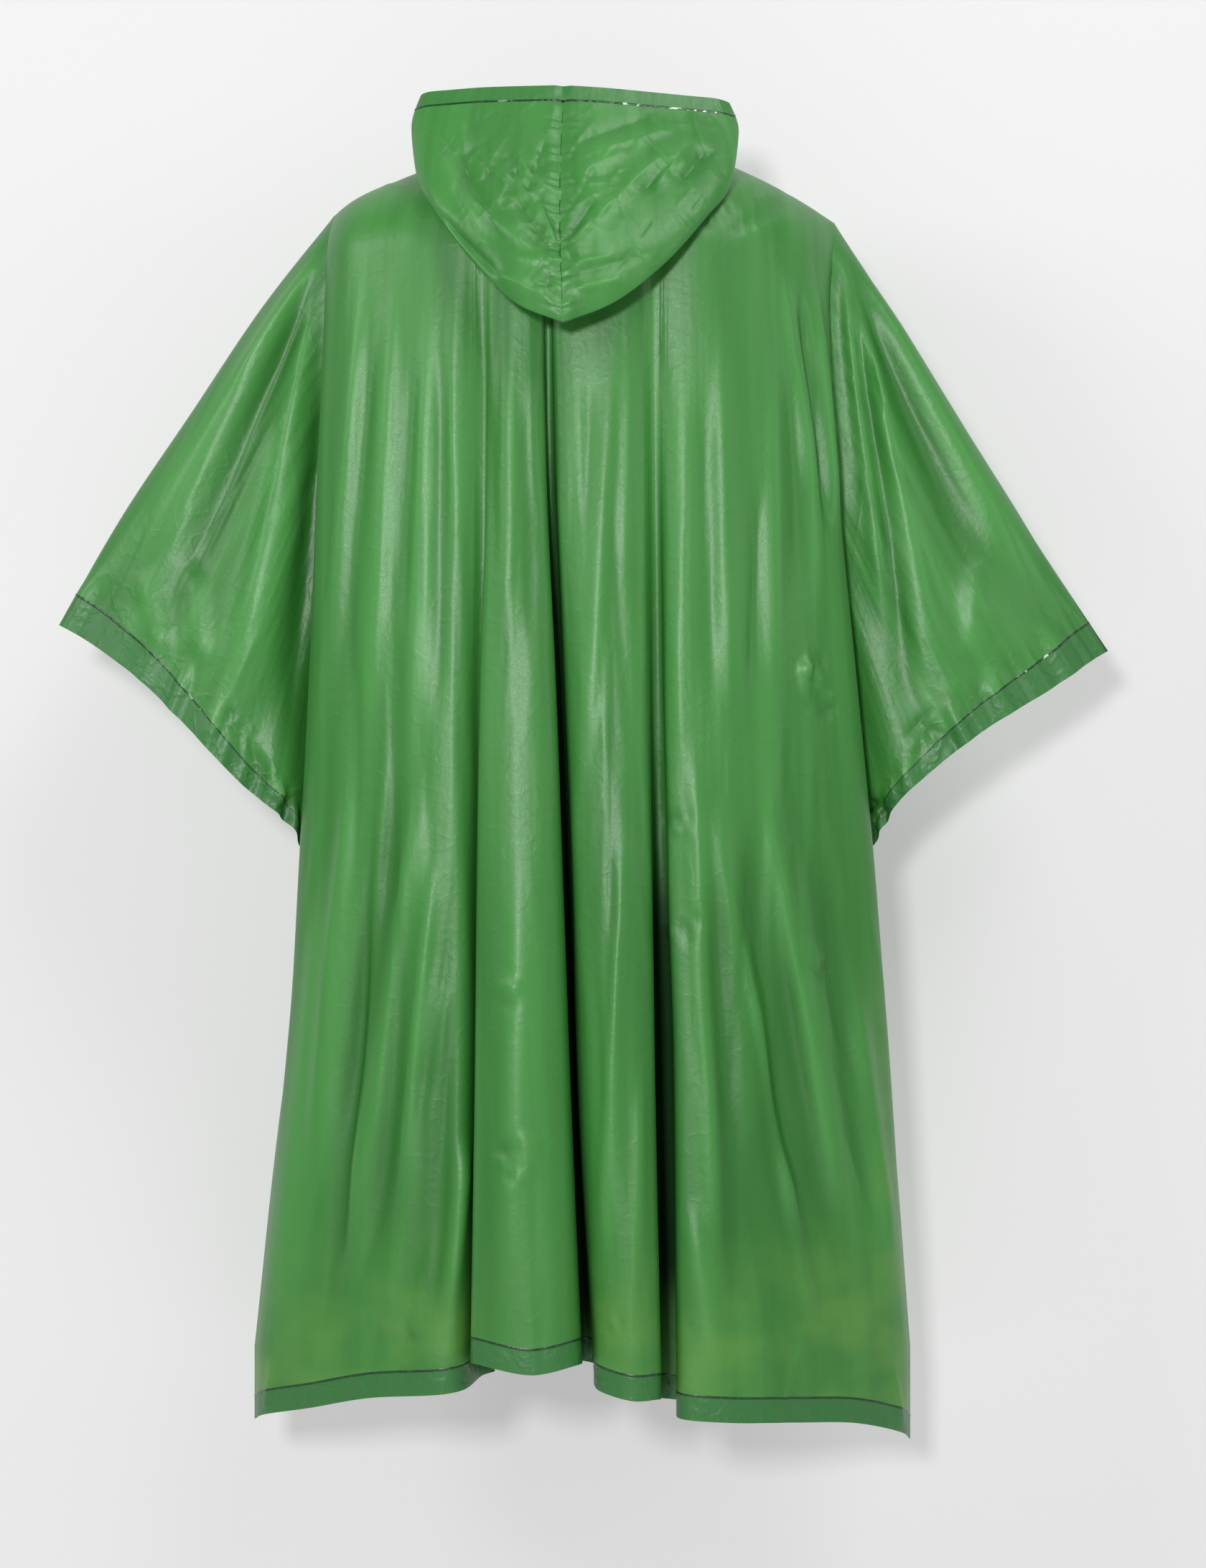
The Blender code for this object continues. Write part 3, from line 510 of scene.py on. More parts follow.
def top_edge(x, face):
    """The upper edge of a panel: the shoulder fold, and the neckline between its ends."""
    out = [row[0] for row in SHOULDER]
    left = through(out, [row[1] for row in SHOULDER], np.abs(x))
    right = through(out, [row[2] for row in SHOULDER], np.abs(x))
    shoulder = np.stack([x, 0 * x, np.where(x < 0, left, right)], axis=-1)
    round_it = np.sqrt(np.clip(1 - (x / NECK_HALF) ** 2, 0, 1))
    if face < 0:
        neck = np.stack([x, -NAPE_DEPTH * round_it, NECK_SIDE_Z - NAPE_DROP * round_it], axis=-1)
    else:
        drop = FRONT_NECK_DROP * round_it**FRONT_NECK_ROUND
        neck = np.stack([x, FRONT_NECK_DEPTH * round_it, NECK_SIDE_Z - drop], axis=-1)
    return np.where(np.abs(x)[:, None] >= NECK_HALF, shoulder, neck)


def over_shoulder(top, below, turn):
    """Points on the quarter turn from the top edge of a panel down to its first level."""
    swing, drop = np.sin(turn * math.pi / 2), np.cos(turn * math.pi / 2)
    x = top[..., 0] + (below[..., 0] - top[..., 0]) * swing**1.5
    y = top[..., 1] + (below[..., 1] - top[..., 1]) * swing
    return np.stack([x, y, below[..., 2] + (top[..., 2] - below[..., 2]) * drop], axis=-1)


def lines_at(lines, levels, z, face):
    """Points where the fold lines cross heights z, which has a column for each line."""
    x = np.stack([through(levels, line[2], z[:, i]) for i, line in enumerate(lines)], axis=1)
    y = np.stack([through(levels, line[3], z[:, i]) for i, line in enumerate(lines)], axis=1)
    return np.stack([x, face * y, z], axis=-1)


def panel_grid(lines, levels, face, step, rows):
    """A fine grid over a panel, from its top edge to the hem, and the number of its hem's first row."""
    mark = np.full((1, len(lines)), -600.0)
    gaps = length_of(np.diff(lines_at(lines, levels, mark, face)[0], axis=0))[:, 0]
    strips = [max(3, round(gap / step)) for gap in gaps]
    tops = top_edge(between(np.array([line[1] for line in lines], float), strips), face)
    start = np.full((1, len(lines)), levels[0])
    first = across(lines_at(lines, levels, start, face), strips)
    turn_rows, body_rows, hem_rows = rows
    turns = np.linspace(0, 1, turn_rows, endpoint=False)[:, None]
    shoulder = over_shoulder(tops[None], first, turns)
    hem = np.array([line[4] for line in lines], float)[None]
    weld = hem + BOTTOM_HEM
    share = np.linspace(0, 1, body_rows)[:, None]
    heights = start + (weld + WELD_HALF - start) * share
    low = np.linspace(0, 1, hem_rows)[:, None]
    heights = np.concatenate([heights, weld, weld - WELD_HALF + (hem - weld + WELD_HALF) * low])
    body = across(lines_at(lines, levels, heights, face), strips)
    return np.concatenate([shoulder, body]), turn_rows + body_rows


def outward_of(grid, ring=False):
    """Unit normals of a grid: towards -Y where its rows go down and its columns go to +X."""
    down = np.gradient(grid, axis=0)
    if ring:
        wide = np.concatenate([grid[:, -1:], grid, grid[:, :1]], axis=1)
        right = wide[:, 2:] - wide[:, :-2]
    else:
        right = np.gradient(grid, axis=1)
    return unit(np.cross(down, right))


def crease(x, z, start, end, halves, height, lean=0.0, sharp=SOFT):
    """How far one crease lifts the film at points x, z. A sharp one comes nearly to an edge."""
    (x0, z0), (x1, z1) = start, end
    reach = math.hypot(x1 - x0, z1 - z0)
    ux, uz = (x1 - x0) / reach, (z1 - z0) / reach
    t = ((x - x0) * ux + (z - z0) * uz) / reach
    aside = (z - z0) * ux - (x - x0) * uz
    half = halves[0] + (halves[1] - halves[0]) * np.clip(t, 0, 1)
    half = half * np.where(aside > 0, 1 + lean, 1 - lean)
    fade = smooth(t / 0.3) * smooth((1 - t) / 0.3)
    return height * fade * np.exp(-np.abs(aside / half) ** sharp)


def relief(x, z, creases, crumples, streaks, rng, sharp=SOFT):
    """All the creases of a panel together."""
    lift = np.zeros(x.shape)
    for row in creases:
        lift += crease(x, z, *row, sharp=sharp)
    for (cx, cz), reach, count, height in crumples:
        for _ in range(count):
            angle = rng.uniform(0, math.pi)
            mx, mz = rng.normal(0, reach * 0.3, 2)
            half = rng.uniform(0.5, 1.0) * reach
            dx, dz = half * math.cos(angle), half * math.sin(angle)
            ends = (cx + mx - dx, cz + mz - dz), (cx + mx + dx, cz + mz + dz)
            width = rng.uniform(2.8, 4.6)
            lift += crease(x, z, *ends, (width, width), height * rng.choice([-1, 1]), 0.3, SHARP)
    for (x0, x1), (z0, z1), tilt, count, long, width, height in streaks:
        for _ in range(count):
            sx, sz = rng.uniform(x0, x1), rng.uniform(z0, z1)
            run = rng.uniform(*long)
            lean = math.radians(rng.normal(tilt, 3.0))
            end = (sx + run * math.sin(lean), sz - run * math.cos(lean))
            half = rng.uniform(*width)
            rise = rng.uniform(0.4, 1.0) * height * rng.choice([-1, 1])
            lift += crease(x, z, (sx, sz), end, (half * 0.7, half), rise)
    return lift


def creased(grid, outward, creases, crumples, streaks, rng, facing):
    """The grid moved out by its creases, where it faces away from the middle plane."""
    lift = relief(grid[..., 0], grid[..., 2], creases, crumples, streaks, rng)
    lift *= smooth(facing * outward[..., 1] / SIDE_ON)
    return grid + outward * lift[..., None], lift


def armhole(side, face, share):
    """The edge of the panels beside the sleeve, from the shoulder (0) to under the arm (1)."""
    lines, levels = (BACK_LINES, BACK_LEVELS) if face < 0 else (FRONT_LINES, FRONT_LEVELS)
    line = lines[0] if side < 0 else lines[-1]
    top = top_edge(np.array([float(line[1])]), face)[0]
    z = top[2] + (UNDERARM_Z - top[2]) * share
    first = np.array([line[2][0], face * line[3][0], levels[0]], float)
    drop = np.clip((z - first[2]) / (top[2] - first[2]), 0.0, 1.0)
    upper = over_shoulder(top, first, np.arccos(drop) * 2 / math.pi)
    lower = np.stack([through(levels, line[2], z), face * through(levels, line[3], z), z], axis=-1)
    point = np.where((z >= levels[0])[:, None], upper, lower)
    y = np.maximum(face * point[:, 1] - SEAM_TUCK * np.clip(share / 0.08, 0, 1), 0.0)
    return np.stack([point[:, 0] + side * 0.8 * share, face * y, point[:, 2] - 2.0 * share], axis=-1)


def sleeve_sheet(side, face, along, share):
    """One sheet of a sleeve, from the armhole (along 0) to the cuff (along 1)."""
    arm_keys, under_keys, cuff_keys = ([row[0] for row in t] for t in (ARM_TOP, UNDER, CUFF))
    pick = 1 if side < 0 else 2
    top = through_points(arm_keys, [row[pick] for row in ARM_TOP], along)
    top = np.stack([top[:, 0], 0 * along, top[:, 1]], axis=-1)[:, None]
    under = through_points(under_keys, [(row[pick], row[3]) for row in UNDER], along)
    under = np.stack([under[:, 0], 0 * along, under[:, 1]], axis=-1)[:, None]
    edge = [(*row[pick], row[3 if face < 0 else 4]) for row in CUFF]
    far = through_points(cuff_keys, edge, share)
    far = np.stack([far[:, 0], face * far[:, 2], far[:, 1]], axis=-1)[None]
    near = armhole(side, face, share)[None]
    a, s = along[:, None, None], share[None, :, None]
    corners = (1 - a) * (1 - s) * near[:, :1] + a * (1 - s) * far[:, :1]
    corners = corners + (1 - a) * s * near[:, -1:] + a * s * far[:, -1:]
    grid = (1 - a) * near + a * far + (1 - s) * top + s * under - corners
    fold = sum(h * np.exp(-(((share - at) / half) ** 2)) for at, h, half in SLEEVE_FOLDS)
    swell = np.sin(math.pi * np.minimum(along / 1.6, 1.0)) * np.minimum(1.0, along * 4)
    grid[..., 1] += face * fold[None] * swell[:, None]
    return grid + (near - grid[:1]) * (1 - smooth(along / 0.12))[:, None, None]


def sleeve_grid(side, along, count):
    """Rings round a sleeve: down the back sheet and up the front sheet."""
    even = np.linspace(0, 1, count)
    share = 0.75 * even + 0.25 * (1 - np.cos(math.pi * even)) / 2
    back, front = sleeve_sheet(side, -1, along, share), sleeve_sheet(side, 1, along, share)
    return np.concatenate([back, front[:, -2:0:-1]], axis=1)


def neck_seam(degrees, side):
    """The hood's neck seam, on top of the panels' neckline, from the nape (0) to the front (180)."""
    turn = np.radians(degrees)
    c = np.cos(turn)
    depth = np.where(c > 0, -NAPE_DEPTH * c, -FRONT_NECK_DEPTH * c)
    drop = np.where(c > 0, NAPE_DROP * c, FRONT_NECK_DROP * np.abs(c) ** FRONT_NECK_ROUND)
    x = side * np.maximum(NECK_HALF * np.sin(turn), 0.3) - NECK_LEFT * np.maximum(0.0, c) ** 3
    return np.stack([x, depth * 0.99, NECK_SIDE_Z - drop + NECK_RISE], axis=-1)


def cubic(p0, p1, p2, p3, fine=400):
    t = np.linspace(0, 1, fine)[:, None]
    s = 1 - t
    return s**3 * p0 + 3 * s * s * t * p1 + 3 * s * t * t * p2 + t**3 * p3


def walk(curve, stops):
    """Points along a fine curve at distances from its start, given as a function of its length."""
    run = np.concatenate([[0.0], np.cumsum(length_of(np.diff(curve, axis=0))[:, 0])])
    at = stops(run[-1])
    return np.stack([np.interp(at, run, curve[:, i]) for i in range(3)], axis=-1)


def hood_grid(table, side, stations, outer, inner):
    """Columns of the hood: from the face edge down the outside to the fold line and up to the neck."""
    keys = [row[0] for row in table]
    face, fold = (through_points(keys, [row[i] for row in table], stations) for i in (1, 2))
    bulge, slack, turn = (through(keys, [row[i] for row in table], stations) for i in (3, 4, 5))
    neck = neck_seam(turn, side)
    columns = []

    def outer_stops(length):
        edge = min(HOOD_HEM, 0.35 * length)
        lip = [0.0, edge / 2, edge - WELD_HALF, edge, edge + WELD_HALF]
        return np.concatenate([lip, np.linspace(edge + WELD_HALF, length, outer)[1:]])

    for i in range(len(stations)):
        outward = unit(np.array([neck[i, 0], neck[i, 1], 0.0]))
        drop = face[i, 2] - fold[i, 2]
        up = np.array([0.0, 0.0, 1.0])
        a = face[i] - 0.3 * drop * up + outward * bulge[i]
        b = fold[i] + outward * (0.55 * slack[i]) + 0.25 * drop * up
        c = fold[i] - outward * (0.9 * slack[i]) - 0.02 * drop * up
        reach = np.linalg.norm((neck[i] - fold[i])[:2])
        d = neck[i] + outward * (0.62 * reach) + 9.0 * up
        first = walk(cubic(face[i], a, b, fold[i]), outer_stops)
        second = walk(cubic(fold[i], c, d, neck[i]), lambda length: np.linspace(0, length, inner))
        columns.append(np.vstack([first, second[1:]]))
    return np.ascontiguousarray(np.transpose(np.array(columns), (1, 0, 2)))


def quads_of(rows, columns, ring, flip):
    r, c = np.meshgrid(np.arange(rows - 1), np.arange(columns if ring else columns - 1), indexing="ij")
    d = (c + 1) % columns
    quads = np.stack([r * columns + c, (r + 1) * columns + c, (r + 1) * columns + d, r * columns + d], -1)
    quads = quads.reshape(-1, 4)
    return quads[:, ::-1] if flip else quads


def rest_on(grid, panels, clear, passes):
    """Moves the points of a grid out until each is clear of the panels under it."""
    trees = []
    for panel, flip in panels:
        quads = quads_of(*panel.shape[:2], False, flip)
        trees.append(BVHTree.FromPolygons(panel.reshape(-1, 3).tolist(), quads.tolist()))
    for _ in range(passes):
        for tree in trees:
            for point in grid.reshape(-1, 3):
                near, normal, _, distance = tree.find_nearest(Vector(point))
                height = (Vector(point) - near).dot(normal)
                if distance < 60 and height < clear:
                    point += np.array(normal) * (clear - height)
    return grid


def lay_of(grid, shift=0.0):
    """Where each point of a grid lies in the cut, in metres: across the cloth, down it, and a shift."""
    rows, columns = grid.shape[:2]
    over = length_of(np.diff(grid[rows // 2], axis=0))[:, 0]
    down = length_of(np.diff(grid, axis=0))[..., 0].mean(axis=1)
    u = np.concatenate([[0.0], np.cumsum(over)]) * MM
    v = np.concatenate([[0.0], np.cumsum(down)]) * MM
    lay = np.zeros((rows, columns, 3))
    lay[..., 0], lay[..., 1], lay[..., 2] = u[None], v[:, None], shift
    return lay


def add_film(name, grid, material, ring=False, flip=False, marks=None, lay=None):
    """A smooth mesh over a grid of points, with the values in marks kept at its points."""
    rows, columns = grid.shape[:2]
    mesh = bpy.data.meshes.new(name)
    quads = quads_of(rows, columns, ring, flip)
    mesh.from_pydata((grid.reshape(-1, 3) * MM).tolist(), [], quads.tolist())
    mesh.polygons.foreach_set("use_smooth", np.ones(len(quads), bool))
    for key, values in (marks or {}).items():
        store = mesh.attributes.new(key, "FLOAT", "POINT")
        store.data.foreach_set("value", np.broadcast_to(values, (rows, columns)).ravel())
    store = mesh.attributes.new("lay", "FLOAT_VECTOR", "POINT")
    store.data.foreach_set("vector", (lay_of(grid) if lay is None else lay).ravel())
    mesh.materials.append(material)
    mesh.update()
    piece = bpy.data.objects.new(name, mesh)
    bpy.context.scene.collection.objects.link(piece)
    return piece


def feed(tree, node, inputs):
    """Gives inputs of a node their values, or links them to the output of another node."""
    for key, value in inputs.items():
        if isinstance(value, bpy.types.NodeSocket):
            tree.links.new(value, node.inputs[key])
        else:
            node.inputs[key].default_value = value


def noise_of(tree, place, cell, detail):
    """Noise whose grains have the size cell, in metres, along each axis of place."""
    mapping = tree.nodes.new("ShaderNodeMapping")
    feed(tree, mapping, {"Scale": [1 / size for size in cell], "Vector": place})
    texture = tree.nodes.new("ShaderNodeTexNoise")
    feed(tree, texture, {"Scale": 1.0, "Detail": detail, "Vector": mapping.outputs["Vector"]})
    return texture.outputs["Fac"]


def kept(tree, key, output="Fac"):
    attribute = tree.nodes.new("ShaderNodeAttribute")
    attribute.attribute_name = key
    return attribute.outputs[output]


def spread(tree, value, low, high, to_low, to_high):
    node = tree.nodes.new("ShaderNodeMapRange")
    feed(tree, node, {"From Min": low, "From Max": high, "To Min": to_low, "To Max": to_high})
    feed(tree, node, {"Value": value})
    return node.outputs["Result"]


def worked(tree, operation, first, second):
    node = tree.nodes.new("ShaderNodeMath")
    node.operation = operation
    feed(tree, node, {0: first, 1: second})
    return node.outputs["Value"]


def mixed(tree, factor, *colours):
    node = tree.nodes.new("ShaderNodeMix")
    node.data_type = "RGBA"
    first, second = ((*c, 1.0) if isinstance(c, tuple) else c for c in colours)
    feed(tree, node, {"Factor": factor, 6: first, 7: second})
    return node.outputs[2]


def bumped(tree, height, distance, strength=1.0, under=None):
    bump = tree.nodes.new("ShaderNodeBump")
    feed(tree, bump, {"Distance": distance, "Strength": strength, "Height": height})
    if under is not None:
        feed(tree, bump, {"Normal": under})
    return bump.outputs["Normal"]


def blended(tree, factor, first, second):
    """Sends a mix of two shaders to the material's output."""
    blend = tree.nodes.new("ShaderNodeMixShader")
    feed(tree, blend, {"Fac": factor, 1: first, 2: second})
    feed(tree, tree.nodes["Material Output"], {"Surface": blend.outputs["Shader"]})


def new_material(name):
    """A material with its node tree and its shader."""
    material = bpy.data.materials.new(name)
    material.use_nodes = True
    return material, material.node_tree, material.node_tree.nodes["Principled BSDF"]


def film_material(name, light, shade, hem, clear, rough, crinkle):
    """Frosted film: a soft sheen, a little light through it, fine pulls down the cloth and crinkles."""
    material, tree, shader = new_material(name)
    place = tree.nodes.new("ShaderNodeTexCoord").outputs["Object"]
    lay = kept(tree, "lay", "Vector")
    tone_and_painted_shading = spread(tree, noise_of(tree, lay, DRIFT_CELL, 2.0), 0.3, 0.7, -0.25, 0.25)
    # painted light and shade: the creases' lift makes ridges lighter and troughs darker
    tone_and_painted_shading = worked(tree, "ADD", tone_and_painted_shading, kept(tree, "painted_shading"))
    colour = mixed(tree, spread(tree, tone_and_painted_shading, 0.0, 1.0, 0.0, 1.0), shade, light)
    patches = spread(tree, noise_of(tree, place, PATCH_CELL, 2.0), 0.36, 0.62, 0.15, 1.0)
    # painted light: paler, yellower film in patches where light would come through a single layer
    lit = worked(tree, "MULTIPLY", kept(tree, "lit"), patches)
    colour = mixed(tree, lit, colour, clear)
    colour = mixed(tree, kept(tree, "hem"), colour, hem)
    # painted shade: near-black in the floors of deep pleats
    colour = mixed(tree, kept(tree, "pleat_shade"), colour, PLEAT_SHADE)
    grain = spread(tree, noise_of(tree, place, GRAIN_CELL, 1.0), 0.3, 0.7, rough - 0.04, rough + 0.05)
    normal = bumped(tree, noise_of(tree, lay, PULL_CELL, 2.0), PULL_DEPTH)
    normal = bumped(tree, noise_of(tree, lay, FINE_PULL_CELL, 1.0), FINE_PULL_DEPTH, under=normal)
    cell, depth = crinkle
    wave = noise_of(tree, place, (cell, cell, cell), 3.0)
    edge = worked(tree, "ABSOLUTE", worked(tree, "SUBTRACT", wave, 0.5), 0.0)
    edge = spread(tree, edge, 0.0, 0.07, 1.0, 0.0)
    edge = worked(tree, "MULTIPLY", edge, kept(tree, "crumpled"))
    normal = bumped(tree, edge, depth, under=normal)
    normal = bumped(tree, noise_of(tree, place, SKIN_CELL, 2.0), SKIN_DEPTH, under=normal)
    inputs = {
        "Base Color": colour,
        "Roughness": grain,
        "IOR": IOR,
        # no sheen and no coat where the pleats are painted with shade
        "Specular IOR Level": spread(tree, kept(tree, "pleat_shade"), 0.0, 1.0, SHEEN, PLEAT_SHADE_SHEEN),
        "Coat Weight": spread(tree, kept(tree, "pleat_shade"), 0.0, 1.0, COAT, 0.0),
        "Coat Roughness": COAT_ROUGH,
        "Normal": normal,
    }
    feed(tree, shader, inputs)
    through_it = tree.nodes.new("ShaderNodeBsdfTranslucent")
    feed(tree, through_it, {"Color": colour})
    blended(tree, SEE_THROUGH, shader.outputs["BSDF"], through_it.outputs["BSDF"])
    return material


def weld_material():
    """The welded line: film pressed thin, darker and shinier, with painted glints: pale flecks in scattered
    patches.
    """
    material, tree, shader = new_material("weld_line")
    place = tree.nodes.new("ShaderNodeTexCoord").outputs["Object"]
    fine = noise_of(tree, place, (0.0025, 0.0025, 0.0025), 3.0)
    colour = mixed(tree, spread(tree, fine, 0.35, 0.65, 0.0, 1.0), WELD_DARK, WELD_LIGHT)
    patch = spread(tree, noise_of(tree, place, (0.09, 0.09, 0.09), 1.0), 0.54, 0.64, 0.0, 1.0)
    dash = spread(tree, noise_of(tree, place, (0.006, 0.006, 0.006), 1.0), 0.58, 0.62, 0.0, 1.0)
    # painted glints: pale flecks in scattered patches along the weld
    colour = mixed(tree, worked(tree, "MULTIPLY", patch, dash), colour, WELD_GLINT)
    coat = {"Coat Weight": WELD_COAT, "Coat Roughness": WELD_COAT_ROUGH}
    feed(tree, shader, {"Base Color": colour, "Roughness": WELD_ROUGH, **coat})
    feed(tree, shader, {"Normal": bumped(tree, fine, 0.0006, 0.8)})
    return material


def ready(piece, slot, *nodes):
    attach(piece, "root")
    if nodes:
        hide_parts(*nodes)
    return piece


def weld_strip(name, rows, outward, ring, flip, rng):
    """A thin raised line over three rows of a grid, with small puckers along it."""
    rise = np.array([0.12, WELD_RISE, 0.12])[:, None]
    beads = 1 + 0.5 * np.convolve(rng.normal(0, 1, rows.shape[1]), np.ones(3) / 3, "same")
    line = rows + outward * (rise * np.clip(beads, 0.3, 2.0)[None])[..., None]
    return ready(add_film(name, line, WELD, ring, flip), "film_hem")


def painted_crease_shading_of(lift):
    """Painted light and shade from the creases: lighter where the film is lifted (1), darker where it sinks
    (0).
    """
    return 0.5 + 0.5 * np.tanh(lift / RIDGE_HEIGHT)


def pleat_shade_of(grid, face):
    """Painted shade in the floors of pleats, 0 to 1: by how far each point of a panel lies below the folds
    within reach of it.
    """
    x, depth = grid[..., 0], grid[..., 1] * face
    near = np.zeros(x.shape)
    for row in range(x.shape[0]):
        close = np.abs(x[row][:, None] - x[row][None]) < PLEAT_REACH
        left = np.where(close & (x[row][None] < x[row][:, None]), depth[row][None], -1e3).max(axis=1)
        right = np.where(close & (x[row][None] > x[row][:, None]), depth[row][None], -1e3).max(axis=1)
        near[row] = np.minimum(left, right) - depth[row]
    z = grid[..., 2]
    window = np.zeros(x.shape)
    for left, right, top, bottom in PLEAT_SHADE_SPANS:
        inside = smooth((top - z) / PLEAT_SHADE_FADES[0]) * smooth((z - bottom) / PLEAT_SHADE_FADES[1])
        window = np.maximum(window, inside * ((x > left) & (x < right)))
    return DARKEST_PLEAT_SHADE * window * smooth((near - PLEAT_FROM) / PLEAT_RANGE)


def painted_backlight(x, z, above):
    """Painted light for light through a single layer: low down, and along the right edge."""
    climb = LIT_RIGHT + LIT_CLIMB * np.abs(x - LIT_RIGHT_X)
    rise = np.where(x < LIT_LEFT_X, LIT_LEFT, np.where(x < LIT_RIGHT_X, LIT_MIDDLE, climb))
    low = LIT * smooth((rise + LIT_OVER - above) / LIT_FADE)
    low = low * np.where((x > DIM_FOLD[0]) & (x < DIM_FOLD[1]), DIM, 1.0)
    edge = smooth((x - EDGE_X - EDGE_TILT * (z - EDGE_Z)) / EDGE_FADE)
    return np.maximum(low, EDGE_LIT * edge * smooth((EDGE_TOP - z) / EDGE_TOP_FADE))


def hemmed(name, hem_name, hem_node, grid, outward, row, lay, ring, flip, rng):
    """The layer turned up inside the hem that starts at a row, and the weld that closes it."""
    inside = grid[row:] - outward[row:] * HEM_GAP
    turned = add_film(hem_name, inside, HEM, ring, flip, HEM_MARKS, lay[row:])
    ready(turned, "film_hem", hem_node)
    three = slice(row - 1, row + 2)
    return [turned, weld_strip(name + "_weld", grid[three], outward[three], ring, flip, rng)]


def panel(names, nodes, lines, levels, face, creases, crumples, streaks, step, rows, rng):
    """The back or the front, with its hem: the sheet, what goes with it, and its grid."""
    name, hem_name = names
    flip = face > 0
    grid, weld_row = panel_grid(lines, levels, face, step, rows)
    lay = lay_of(grid, face * 0.5)
    outward = outward_of(grid) * (-1 if flip else 1)
    plain = grid
    grid, lift = creased(grid, outward, creases, crumples, streaks, rng, face)
    for edge in (0, -1):
        below = grid[:, edge, 2] < UNDERARM_Z - 2
        grid[below, edge, 1] = face * SEAM_HALF_GAP
    outward = outward_of(grid) * (-1 if flip else 1)
    in_hem = np.zeros(grid.shape[:2])
    in_hem[weld_row:] = 1.0
    x, z = grid[..., 0], grid[..., 2]
    marks = {
        "hem": in_hem * PANEL_HEM,
        # painted light low down and along the right edge
        "lit": painted_backlight(x, z, z - grid[-1:, :, 2]) * (1 - in_hem),
        "crumpled": PANEL_CRUMPLED + PANEL_HEM_CRUMPLED * in_hem,
        # painted shade in deep pleats
        "pleat_shade": pleat_shade_of(plain, face),
        # painted light and shade on the creases, and painted shade darkening the film towards the bottom
        "painted_shading": painted_crease_shading_of(lift) - LOW_PAINTED_SHADE * smooth((LOW_PAINTED_SHADE_Z - z) / LOW_PAINTED_SHADE_FADE),
    }
    sheet = ready(add_film(name, grid, BODY, False, flip, marks, lay), "film_body", nodes[0])
    with_it = hemmed(name, hem_name, nodes[1], grid, outward, weld_row, lay, False, flip, rng)
    return sheet, with_it, grid


def ruffle(count, rng):
    """Uneven waves round a cuff: a smooth random line which closes on itself."""
    steps = rng.normal(0, 1, count)
    turns = np.fft.rfft(steps)
    turns[:5] = 0.0
    turns *= np.exp(-((np.arange(len(turns)) / RUFFLE_WAVES) ** 2))
    line = np.fft.irfft(turns, count)
    return RUFFLE_HEIGHT * line / np.abs(line).max()


def sleeve(names, nodes, side, creases, rng):
    """A sleeve with its cuff: the sheet, and what goes with it."""
    name, cuff_name = names
    length = math.dist(ARM_TOP[0][1], ARM_TOP[-1][1])
    weld_at = 1 - CUFF_HEM / length
    line = WELD_HALF / length
    along = np.concatenate(
        [np.linspace(0, weld_at - line, SLEEVE_ROWS), [weld_at], np.linspace(weld_at + line, 1, CUFF_ROWS)]
    )
    weld_row = SLEEVE_ROWS
    flip = side > 0
    grid = sleeve_grid(side, along, SLEEVE_COLUMNS)
    lay = lay_of(grid)
    turn_back = lay[..., 0].max() - lay[..., 0]
    lay[..., 0], lay[..., 2] = np.minimum(lay[..., 0], turn_back), grid[..., 1] * MM * 4
    outward = outward_of(grid, True) * (-1 if flip else 1)
    mirror = [(cx * side, cz) for (cx, cz), *_ in SLEEVE_CRUMPLES]
    crumples = [(spot, *row[1:]) for spot, row in zip(mirror, SLEEVE_CRUMPLES)]
    lift = relief(grid[..., 0], grid[..., 2], creases, crumples, SLEEVE_STREAKS, rng)
    flat_on = smooth(np.abs(outward[..., 1]) / SIDE_ON) * smooth(along / 0.08)[:, None]
    waves = ruffle(grid.shape[1], rng)
    lift += waves[None] * smooth((along - RUFFLE_FROM) / 0.1)[:, None]
    lift = lift * flat_on
    grid = grid + outward * lift[..., None]
    outward = outward_of(grid, True) * (-1 if flip else 1)
    in_hem = np.zeros(grid.shape[:2])
    in_hem[weld_row:] = 1.0
    low = smooth((CUFF_LOW - grid[..., 2]) / CUFF_LOW_FADE)
    near_cuff = smooth((along - CUFF_FROM) / 0.15)[:, None]
    marks = {
        "hem": in_hem * SLEEVE_HEM,
        # painted light near the cuffs, low down
        "lit": CUFF_LIT * smooth((along - CUFF_FROM) / 0.1)[:, None] * (1 - in_hem) * low,
        "crumpled": SLEEVE_CRUMPLED + CUFF_CRUMPLED * near_cuff * (0.4 + 0.6 * low),
        # painted light and shade on the sleeve's creases
        "painted_shading": painted_crease_shading_of(lift),
    }
    sheet = ready(add_film(name, grid, SLEEVE, True, flip, marks, lay), "film_sleeve", nodes[0])
    return sheet, hemmed(name, cuff_name, nodes[1], grid, outward, weld_row, lay, True, flip, rng)


def hood_crumpled(grid):
    """How finely the hood is crinkled: most beside the centre seam and in two handled places."""
    x, z = grid[..., 0], grid[..., 2]
    amount = 0.12 + 0 * x
    for (cx, cz), reach, _, height in HOOD_CRUMPLES:
        away = np.hypot(x - cx, z - cz) / reach
        amount = np.maximum(amount, 0.55 * height * np.exp(-(away**2)))
    return np.clip(amount, 0.0, 0.9)


